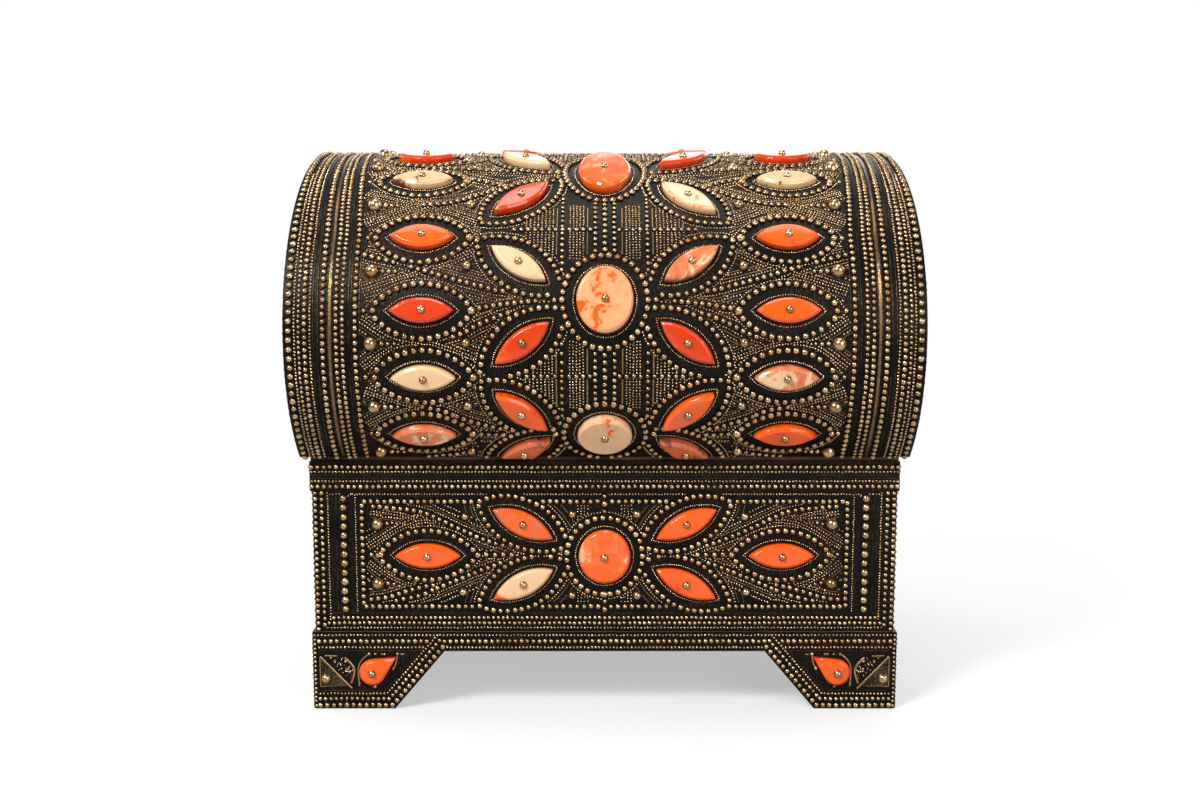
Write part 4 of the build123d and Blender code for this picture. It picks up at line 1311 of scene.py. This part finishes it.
def aged_wood(settings):
    """Bare hardwood, darkened with age, with its grain along the boards."""
    material, net, output = new_material("aged_wood")
    where = net.node("ShaderNodeTexCoord").outputs["Object"]
    drawn = net.node("ShaderNodeMapping", None, {"Vector": where, "Scale": (1.0, 9.0, 9.0)}).outputs[0]
    rings = noise(net, drawn, 14.0, 5.0, Distortion=0.8)
    pores = net.node("ShaderNodeMapping", None, {"Vector": where, "Scale": (0.06, 1.0, 1.0)}).outputs[0]
    pore = noise(net, pores, 1400.0, 1.0)
    shade = net.mixed(rings.between(0.35, 0.65), colour4(settings.dark_wood), colour4(settings.wood))
    shade = net.mixed(pore.between(0.55, 0.7) * 0.5, shade, colour4([c * 0.4 for c in settings.dark_wood]))
    bump = net.node("ShaderNodeBump", None, {
        "Strength": 0.4, "Distance": 0.0003, "Height": rings * 0.4 + pore * 0.6
    })
    finish_surface(net, output, {
        "Base Color": shade, "Roughness": 0.55 + pore * 0.2, "Normal": bump.outputs[0]
    })
    return material


def pale_floor(stage):
    """A pale floor that fades to white away from the chest. It is darker for light than for the camera."""
    material, net, output = new_material("pale_floor")
    place = net.node("ShaderNodeTexCoord").outputs["Object"]
    distance = net.amount("ShaderNodeVectorMath", {"operation": "LENGTH"}, {0: place}, output="Value")
    seen = net.amount("ShaderNodeLightPath", output="Is Camera Ray")
    colour = net.mixed(seen, colour4([c * 0.5 for c in stage.floor]), colour4(stage.floor))
    skin = net.node("ShaderNodeBsdfPrincipled", None, {"Base Color": colour, "Roughness": 0.6})
    backdrop = net.node("ShaderNodeEmission", None, {"Color": (1, 1, 1, 1), "Strength": 1.0})
    both = net.node("ShaderNodeMixShader", None, {
        0: seen * (0.45 + distance.between(0.22, 0.6) * 0.55), 1: skin.outputs[0], 2: backdrop.outputs[0]
    })
    net.join(output.inputs["Surface"], both.outputs[0])
    return material


def studio_sky(stage):
    """A world that is white to the camera and a weak light to everything else."""
    world = bpy.data.worlds.new("studio")
    world.use_nodes = True
    world.node_tree.nodes.clear()
    net = Net(world.node_tree)
    output = net.node("ShaderNodeOutputWorld")
    seen = net.amount("ShaderNodeLightPath", output="Is Camera Ray")
    sky = net.node("ShaderNodeBackground", None, {
        "Color": (1, 1, 1, 1), "Strength": seen + (1.0 - seen) * stage.sky
    })
    net.join(output.inputs["Surface"], sky.outputs[0])
    return world


def chest_material(name):
    """A finish, which has to be made before the pieces."""
    if name not in bpy.data.materials:
        raise RuntimeError(f"make the finishes first: there is no {name}")
    return bpy.data.materials[name]


# ------------------------------------------------------------------ what a user would change
def colour_property(name, description, default):
    """A colour that a user would change."""
    return bpy.props.FloatVectorProperty(
        name=name, description=description, default=default, size=3, min=0.0, max=1.0, subtype="COLOR"
    )


def power_property(name, description, default):
    """The power of a light."""
    return bpy.props.FloatProperty(
        name=name, description=description, default=default, min=0.0, unit="POWER"
    )


class ChestMetal(bpy.types.PropertyGroup):
    """Colours of the metal and the wood."""
    patina: colour_property("Patina", "Blackened ground between the beads", (0.009, 0.007, 0.0055))
    brass: colour_property("Brass", "Worn tops of the beads", (0.5, 0.315, 0.15))
    pale_brass: colour_property("Pale brass", "Brightest beads", (0.7, 0.49, 0.28))
    dull_brass: colour_property("Dull brass", "Tarnished beads", (0.33, 0.19, 0.085))
    wood: colour_property("Wood", "Lighter grain of the carcass", (0.2, 0.09, 0.045))
    dark_wood: colour_property("Dark wood", "Darker grain of the carcass", (0.085, 0.036, 0.018))


class ChestStones(bpy.types.PropertyGroup):
    """Colours of the cabochons and size of their nails."""
    orange: colour_property("Orange", "Body of the orange stones", (0.8, 0.096, 0.003))
    red: colour_property("Red", "Body of the red stones", (0.6, 0.04, 0.004))
    cream: colour_property("Cream", "Body of the cream stones", (0.74, 0.48, 0.26))
    peach: colour_property("Peach", "Body of the peach stones", (0.74, 0.36, 0.16))
    coral: colour_property("Coral", "Body of the coral stones", (0.62, 0.13, 0.045))
    brown: colour_property("Brown", "Dark veins", (0.16, 0.045, 0.02))
    nail: bpy.props.FloatProperty(
        name="Nail", description="Width of the nail that holds a cabochon", default=0.0043, min=0.002,
        max=0.008, subtype="DISTANCE", unit="LENGTH"
    )


class ChestBeads(bpy.types.PropertyGroup):
    """Shape of the embossed beads."""
    fullness: bpy.props.FloatProperty(
        name="Fullness", description="Height of a bead against its half width", default=1.1, min=0.3, max=1.6
    )
    variation: bpy.props.FloatProperty(
        name="Variation", description="How much beads differ in size", default=0.09, min=0.0, max=0.3
    )
    scatter: bpy.props.FloatProperty(
        name="Scatter", description="How far beads stray from their row", default=0.00013, min=0.0, max=0.001,
        subtype="DISTANCE", unit="LENGTH"
    )
    seed: bpy.props.IntProperty(name="Seed", description="Seed of all that is random", default=7, min=0)


class ChestStage(bpy.types.PropertyGroup):
    """Light, floor and camera."""
    floor: colour_property("Floor", "Colour of the floor", (0.86, 0.86, 0.86))
    key: power_property("Key", "Power of the key light", 28.0)
    fill: power_property("Fill", "Power of each of the four fill lights", 12.0)
    top: power_property("Top", "Power of the light above", 7.0)
    sky: bpy.props.FloatProperty(
        name="Sky", description="Strength of the light from all round", default=0.25, min=0.0
    )
    lens: bpy.props.FloatProperty(
        name="Lens", description="Focal length", default=0.043, min=0.01, unit="CAMERA", subtype="DISTANCE"
    )


SETTINGS = {
    "chest_metal": ChestMetal, "chest_stones": ChestStones, "chest_beads": ChestBeads,
    "chest_stage": ChestStage,
}


# ------------------------------------------------------------------ operators
# Node trees by name, made by the first operator
TREES = {}


class CHEST_OT_trees(bpy.types.Operator):
    """Build the node trees that grow beads, bosses and wires"""
    bl_idname = "chest.trees"
    bl_label = "Bead tools"

    def execute(self, context):
        TREES["rows"] = make_bead_rows_tree()
        TREES["studs"] = make_studs_tree()
        TREES["wires"] = make_wires_tree()
        return {"FINISHED"}


class CHEST_OT_materials(bpy.types.Operator):
    """Make the finishes and give them to the wood, the sheet metal and the hinges"""
    bl_idname = "chest.materials"
    bl_label = "Finishes"

    def execute(self, context):
        settings = context.scene.chest_metal
        ground = embossed_metal("embossed_ground", settings)
        # The bead, grain, boss, wire and stroke finishes below paint shade on the lower sides of their domes
        # and lines, beneath the worn brass tops.
        embossed_metal("worn_beads", settings)
        embossed_metal("bright_grains", settings, 0.12)
        embossed_metal("smooth_bosses", settings, 0.42, 0.08)
        embossed_metal("worn_wires", settings, -0.5)
        embossed_metal("bright_strokes", settings, -0.2)
        hinge = embossed_metal("hinge_brass", settings, 0.62)
        wood = aged_wood(settings)
        polished_stone()
        skins = {"rim_band", "plinth_band"}
        for name, node in frame["nodes"].items():
            if "stone" in name or "medallion" in name or "drops" in name:
                continue
            finish = ground if name.endswith("skin") or name in skins else hinge if "hinge" in name else wood
            node.data.materials.clear()
            node.data.materials.append(finish)
        return {"FINISHED"}


# Edge of a cabochon from the back to its flat top: distance outside its outline, height above the metal
STONE_PROFILE = (
    (0.0, -2.9), (0.0, 2.7), (-0.06, 2.88), (-0.2, 3.05), (-1.05, 3.95), (-1.2, 4.08), (-1.45, 4.17),
    (-1.9, 4.2),
)


def add_stone(parts, surface, stone, tints):
    """Add one cabochon's vertices, faces and tints to the parts of its piece."""
    origin, right, up, facing = (way[0] for way in surface.seat(stone.u, stone.v))
    c, s = math.cos(math.radians(stone.tilt)), math.sin(math.radians(stone.tilt))
    along, across = c * right + s * up, c * up - s * right
    start = len(parts["points"])
    loops = [stone.outline(offset) for offset, _ in STONE_PROFILE]
    count = len(loops[0])
    for loop, (_, height) in zip(loops, STONE_PROFILE):
        for a, b in loop:
            parts["points"].append((origin + a * along + b * across + height * facing) * MM)
    parts["points"].append((origin + STONE_PROFILE[-1][1] * facing) * MM)
    flipped = np.cross(loops[0][1] - loops[0][0], loops[0][2] - loops[0][1]) < 0
    faces = []
    tiers = len(loops) - 1
    for tier in range(tiers):
        for number in range(count):
            a, b = start + tier * count + number, start + tier * count + (number + 1) % count
            faces.append((a, b, b + count, a + count))
    top, middle = start + tiers * count, start + len(loops) * count
    for number in range(count):
        faces.append((top + number, top + (number + 1) % count, middle))
    faces.append(tuple(start + number for number in reversed(range(count))))
    parts["faces"] += [tuple(reversed(face)) for face in faces] if flipped else faces
    for key, value in (("body", tints[stone.colour]), ("fleck", tints[stone.fleck]), ("share", stone.share)):
        parts[key] += [value] * (len(loops) * count + 1)


def trim_below(mesh, height):
    """Cut away what hangs below a height, and close the cut."""
    cut = bmesh.new()
    cut.from_mesh(mesh)
    geometry = cut.verts[:] + cut.edges[:] + cut.faces[:]
    ring = bmesh.ops.bisect_plane(
        cut, geom=geometry, plane_co=(0, 0, height), plane_no=(0, 0, -1), clear_outer=True
    )["geom_cut"]
    edges = [part for part in ring if isinstance(part, bmesh.types.BMEdge)]
    if edges:
        bmesh.ops.holes_fill(cut, edges=edges, sides=0)
    bmesh.ops.recalc_face_normals(cut, faces=cut.faces)
    cut.to_mesh(mesh)
    cut.free()


class CHEST_OT_cabochons(bpy.types.Operator):
    """Set the polished cabochons in place of the plain ones"""
    bl_idname = "chest.cabochons"
    bl_label = "Cabochons"

    def execute(self, context):
        colours = context.scene.chest_stones
        names = ("orange", "red", "cream", "peach", "coral", "brown")
        tints = {name: colour4(getattr(colours, name)) for name in names}
        nodes = {}
        for surface, stones in stone_sets:
            for stone in stones:
                if stone.node not in nodes:
                    nodes[stone.node] = {"points": [], "faces": [], "body": [], "fleck": [], "share": []}
                add_stone(nodes[stone.node], surface, stone, tints)
        for node, parts in nodes.items():
            mesh = bpy.data.meshes.new(f"polished_{node}")
            mesh.from_pydata([tuple(p) for p in parts["points"]], [], parts["faces"])
            for label in ("body", "fleck"):
                put_attribute(mesh, label, "FLOAT_COLOR", parts[label])
            put_attribute(mesh, "share", "FLOAT", parts["share"])
            if frame["nodes"][node]["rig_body"] == "lid":
                trim_below(mesh, lid_edge * MM)
            mesh.polygons.foreach_set("use_smooth", [True] * len(mesh.polygons))
            mesh.materials.append(chest_material("polished_stone"))
            mesh.update()
            piece = bpy.data.objects.new(f"polished_{node}", mesh)
            context.scene.collection.objects.link(piece)
            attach(piece, frame["nodes"][node]["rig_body"])
            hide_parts(node)
        return {"FINISHED"}


# Height of the middle of a nail's head above the metal, and how far up from the lid's edge nails begin
NAIL_LIFT = 4.15
NAIL_CLEARANCE = 6.5


def single(u, v, size, lift=0.0):
    """A row of one point."""
    return np.array(((u, v),)), size, size, False, lift


class CHEST_OT_nails(bpy.types.Operator):
    """Drive a domed nail through every cabochon, but for those whose middle is too near the lid's edge"""
    bl_idname = "chest.nails"
    bl_label = "Nails"

    def execute(self, context):
        size = context.scene.chest_stones.nail / MM
        sets = {"lid": [], "chest": []}
        for surface, stones in stone_sets:
            body = "lid" if surface in (lid_front, lid_back, *gables) else "chest"
            lowest = edge_arc + NAIL_CLEARANCE if surface in (lid_front, lid_back) else -math.inf
            for stone in stones:
                if stone.v >= lowest:
                    sets[body].append((surface, single(stone.u, stone.v, size, NAIL_LIFT)))
        for body, rows in sets.items():
            grown(
                f"{body}_cabochon_nails", rows, TREES["studs"], body, Segments=16, Rings=10,
                Fullness=0.95, Variation=0.03, Scatter=0.0002, Seed=context.scene.chest_beads.seed,
                Metal=chest_material("smooth_bosses")
            )
        return {"FINISHED"}


# Kinds of ornament: rows, tree, finish and how finely its domes or lines are made
KINDS = (
    ("beads", "rows", "worn_beads", {"Segments": 8, "Rings": 6}),
    ("grains", "rows", "bright_grains", {"Segments": 6, "Rings": 4}),
    ("studs", "studs", "smooth_bosses", {"Segments": 14, "Rings": 8}),
    ("wires", "wires", "worn_wires", {"Sides": 6}),
    ("strokes", "wires", "bright_strokes", {"Sides": 6}),
    ("ribs", "wires", "worn_beads", {"Sides": 6}),
)


def grow_ornament(context, name, body, ornaments):
    """Beads, grains, bosses and lines of several surfaces, one piece of each kind."""
    beads = context.scene.chest_beads
    common = {
        "Fullness": beads.fullness, "Variation": beads.variation, "Scatter": beads.scatter, "Seed": beads.seed
    }
    for kind, tree, finish, detail in KINDS:
        rows = [(orn.surface, row) for orn in ornaments for row in orn.rows[kind]]
        if rows:
            metal = chest_material(finish)
            grown(f"{name}_{kind}", rows, TREES[tree], body, Metal=metal, **detail, **common)


# Corners of the left front foot's plate, the share by which each of its three loops is drawn in, with the
# loop's height above the metal, its faces, and how far it is worn and toned
FOOT_PLATE = ((-154.1, 29.5), (-153.9, 12.9), (-139.5, 13.2))
PLATE_LOOPS = ((0.0, -0.3), (0.0, 0.3), (0.06, 0.45))
PLATE_FACES = (
    (0, 1, 4, 3), (1, 2, 5, 4), (2, 0, 3, 5), (3, 4, 7, 6), (4, 5, 8, 7), (5, 3, 6, 8), (6, 7, 8), (2, 1, 0),
)
PLATE_RISE, PLATE_TONE = 0.42, 0.3


class CHEST_OT_foot_plates(bpy.types.Operator):
    """Lay a small triangular plate in the outer corner of each front foot"""
    bl_idname = "chest.foot_plates"
    bl_label = "Foot plates"

    def execute(self, context):
        mesh = bpy.data.meshes.new("foot_plates")
        corners, faces = [], []
        for side in (-1, 1):
            start = len(corners)
            outline = np.array(FOOT_PLATE)
            for inset, height in PLATE_LOOPS:
                loop = outline + (outline.mean(axis=0) - outline) * inset
                corners += [(side * u * MM, -(plinth_front + height) * MM, v * MM) for u, v in loop]
            for face in PLATE_FACES:
                faces.append(tuple(start + n for n in (face if side < 0 else reversed(face))))
        mesh.from_pydata(corners, [], faces)
        put_attribute(mesh, "rise", "FLOAT", [PLATE_RISE] * len(corners))
        put_attribute(mesh, "tone", "FLOAT", [PLATE_TONE] * len(corners))
        mesh.materials.append(chest_material("worn_beads"))
        piece = bpy.data.objects.new("foot_plates", mesh)
        context.scene.collection.objects.link(piece)
        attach(piece, "chest")
        return {"FINISHED"}


# Screw heads of a hinge leaf
SCREW_WIDTH, SCREW_SPACING = 4.0, 10.0


class CHEST_OT_hinge_screws(bpy.types.Operator):
    """Set three flush screw heads in each of the four leaves of the hinges"""
    bl_idname = "chest.hinge_screws"
    bl_label = "Hinge screws"

    def execute(self, context):
        for body, node, way, height in (
            ("chest", "left_hinge_body_leaf", 1, rim_top),
            ("lid", "left_hinge_lid_leaf", -1, rim_top + lid_seam),
        ):
            leaf = Wall((0, 0, height), (1, 0, 0), up=(0, way, 0))
            middle = sum(extent(node, 0)) / 2
            steps = (-SCREW_SPACING, 0.0, SCREW_SPACING)
            places = [side * middle + step for side in (1, -1) for step in steps]
            rows = [(leaf, single(u, way * screw_row, SCREW_WIDTH)) for u in places]
            grown(
                f"{body}_hinge_screws", rows, TREES["studs"], body, Segments=20, Rings=8, Fullness=0.06,
                Variation=0.0, Scatter=0.0, Seed=1, Metal=chest_material("hinge_brass")
            )
        return {"FINISHED"}


class CHEST_OT_lid_front(bpy.types.Operator):
    """Emboss the front of the lid"""
    bl_idname = "chest.lid_front"
    bl_label = "Lid, front"

    def execute(self, context):
        stones = dict(stone_sets)[lid_front]
        grow_ornament(context, "lid_front", "lid", [dress_lid_half(lid_front, stones, edge_arc + 1.2)])
        return {"FINISHED"}


class CHEST_OT_lid_back(bpy.types.Operator):
    """Emboss the back of the lid"""
    bl_idname = "chest.lid_back"
    bl_label = "Lid, back"

    def execute(self, context):
        stones = dict(stone_sets)[lid_back]
        grow_ornament(context, "lid_back", "lid", [dress_lid_half(lid_back, stones, edge_arc + 1.6)])
        return {"FINISHED"}


class CHEST_OT_gables(bpy.types.Operator):
    """Emboss the ends of the lid"""
    bl_idname = "chest.gables"
    bl_label = "Lid, ends"

    def execute(self, context):
        grow_ornament(context, "gable", "lid", [dress_gable(surface) for surface in gables])
        return {"FINISHED"}


class CHEST_OT_box(bpy.types.Operator):
    """Emboss the four sides of the box"""
    bl_idname = "chest.box"
    bl_label = "Box"

    def execute(self, context):
        grow_ornament(context, "box", "chest", [
            dress_box_wall(box_walls[0], front_stones, box_end),
            dress_back_wall(box_walls[1]),
            dress_box_wall(box_walls[2], end_stones, box_front),
            dress_box_wall(box_walls[3], end_stones, box_front),
        ])
        return {"FINISHED"}


class CHEST_OT_rim(bpy.types.Operator):
    """Emboss the rim"""
    bl_idname = "chest.rim"
    bl_label = "Rim"

    def execute(self, context):
        halves = (rim_end, rim_end, rim_front, rim_front)
        sides = [dress_rim_wall(wall, half) for wall, half in zip(rim_walls, halves)]
        grow_ornament(context, "rim", "chest", sides)
        return {"FINISHED"}


class CHEST_OT_plinth(bpy.types.Operator):
    """Emboss the plinth and its feet"""
    bl_idname = "chest.plinth"
    bl_label = "Plinth"

    def execute(self, context):
        halves = (plinth_end, plinth_end, plinth_front, plinth_front)
        feet = (front_foot, front_foot, side_foot, side_foot)
        stones = (foot_stones, [], [], [])
        sides = [dress_plinth_wall(*side) for side in zip(plinth_walls, halves, feet, stones)]
        grow_ornament(context, "plinth", "chest", sides)
        return {"FINISHED"}


# The floor's half width, the lamps' places, widths and settings, and what they point at, in metres
FLOOR_REACH = 6
LAMPS = (
    ("key", (-0.8, -1.0, 1.25), 0.5, "key"),
    ("fill", (0.9, -1.3, 0.7), 1.0, "fill"),
    ("top", (0.0, 0.1, 1.6), 0.8, "top"),
    ("back", (0.3, 1.6, 0.8), 1.4, "fill"),
    ("right", (1.7, 0.5, 0.8), 1.2, "fill"),
    ("left", (-1.7, 0.5, 0.8), 1.2, "fill"),
)
LAMP_TARGET = Vector((0, 0, 0.15))
# The camera's place in metres, its tilt in degrees, and its sensor in millimetres
CAMERA_PLACE = (-0.0025, -0.8481, 0.2756)
CAMERA_TILT = 82.0
SENSOR_WIDTH = 36.0


class CHEST_OT_stage(bpy.types.Operator):
    """Set up the floor, the lights and the camera"""
    bl_idname = "chest.stage"
    bl_label = "Stage"

    def execute(self, context):
        stage = context.scene.chest_stage
        scene = context.scene
        scene.view_settings.view_transform = "Standard"
        scene.world = studio_sky(stage)

        mesh = bpy.data.meshes.new("floor")
        corners = [(x, y, 0) for x, y in rectangle(FLOOR_REACH, -FLOOR_REACH, FLOOR_REACH)]
        mesh.from_pydata(corners, [], [(0, 1, 2, 3)])
        mesh.materials.append(pale_floor(stage))
        floor = bpy.data.objects.new("floor", mesh)
        scene.collection.objects.link(floor)

        for name, place, width, setting in LAMPS:
            data = bpy.data.lights.new(name, "AREA")
            data.size, data.energy = width, getattr(stage, setting)
            lamp = bpy.data.objects.new(name, data)
            lamp.location = place
            lamp.rotation_euler = (LAMP_TARGET - Vector(place)).to_track_quat("-Z", "Y").to_euler()
            scene.collection.objects.link(lamp)

        data = bpy.data.cameras.new("camera")
        data.lens, data.sensor_width = stage.lens / MM, SENSOR_WIDTH
        data.clip_start, data.clip_end = 0.05, 30.0
        camera = bpy.data.objects.new("camera", data)
        camera.location = CAMERA_PLACE
        camera.rotation_euler = (math.radians(CAMERA_TILT), 0.0, 0.0)
        scene.collection.objects.link(camera)
        scene.camera = camera
        return {"FINISHED"}


OPERATORS = (
    CHEST_OT_trees, CHEST_OT_materials, CHEST_OT_cabochons, CHEST_OT_nails, CHEST_OT_lid_front,
    CHEST_OT_lid_back, CHEST_OT_gables, CHEST_OT_box, CHEST_OT_rim, CHEST_OT_plinth, CHEST_OT_foot_plates,
    CHEST_OT_hinge_screws, CHEST_OT_stage,
)


class CHEST_PT_dressing(bpy.types.Panel):
    """Steps and settings of the chest's dressing"""
    bl_label = "Dowry chest"
    bl_idname = "CHEST_PT_dressing"
    bl_space_type = "VIEW_3D"
    bl_region_type = "UI"
    bl_category = "Chest"

    def draw(self, context):
        for operator in OPERATORS:
            self.layout.operator(operator.bl_idname)
        for name in SETTINGS:
            group = getattr(context.scene, name)
            box = self.layout.box()
            for field in group.__annotations__:
                box.prop(group, field)


CLASSES = (*SETTINGS.values(), *OPERATORS, CHEST_PT_dressing)


def register():
    """Register the settings, operators and panel."""
    for item in CLASSES:
        bpy.utils.register_class(item)
    for name, group in SETTINGS.items():
        setattr(bpy.types.Scene, name, bpy.props.PointerProperty(type=group))


def unregister():
    """Take the settings, operators and panel away again."""
    for name in SETTINGS:
        delattr(bpy.types.Scene, name)
    for item in reversed(CLASSES):
        bpy.utils.unregister_class(item)


def main():
    """Dress the chest and set the stage."""
    register()
    for operator in OPERATORS:
        getattr(bpy.ops.chest, operator.bl_idname.split(".")[1])()


if __name__ == "__main__":
    main()
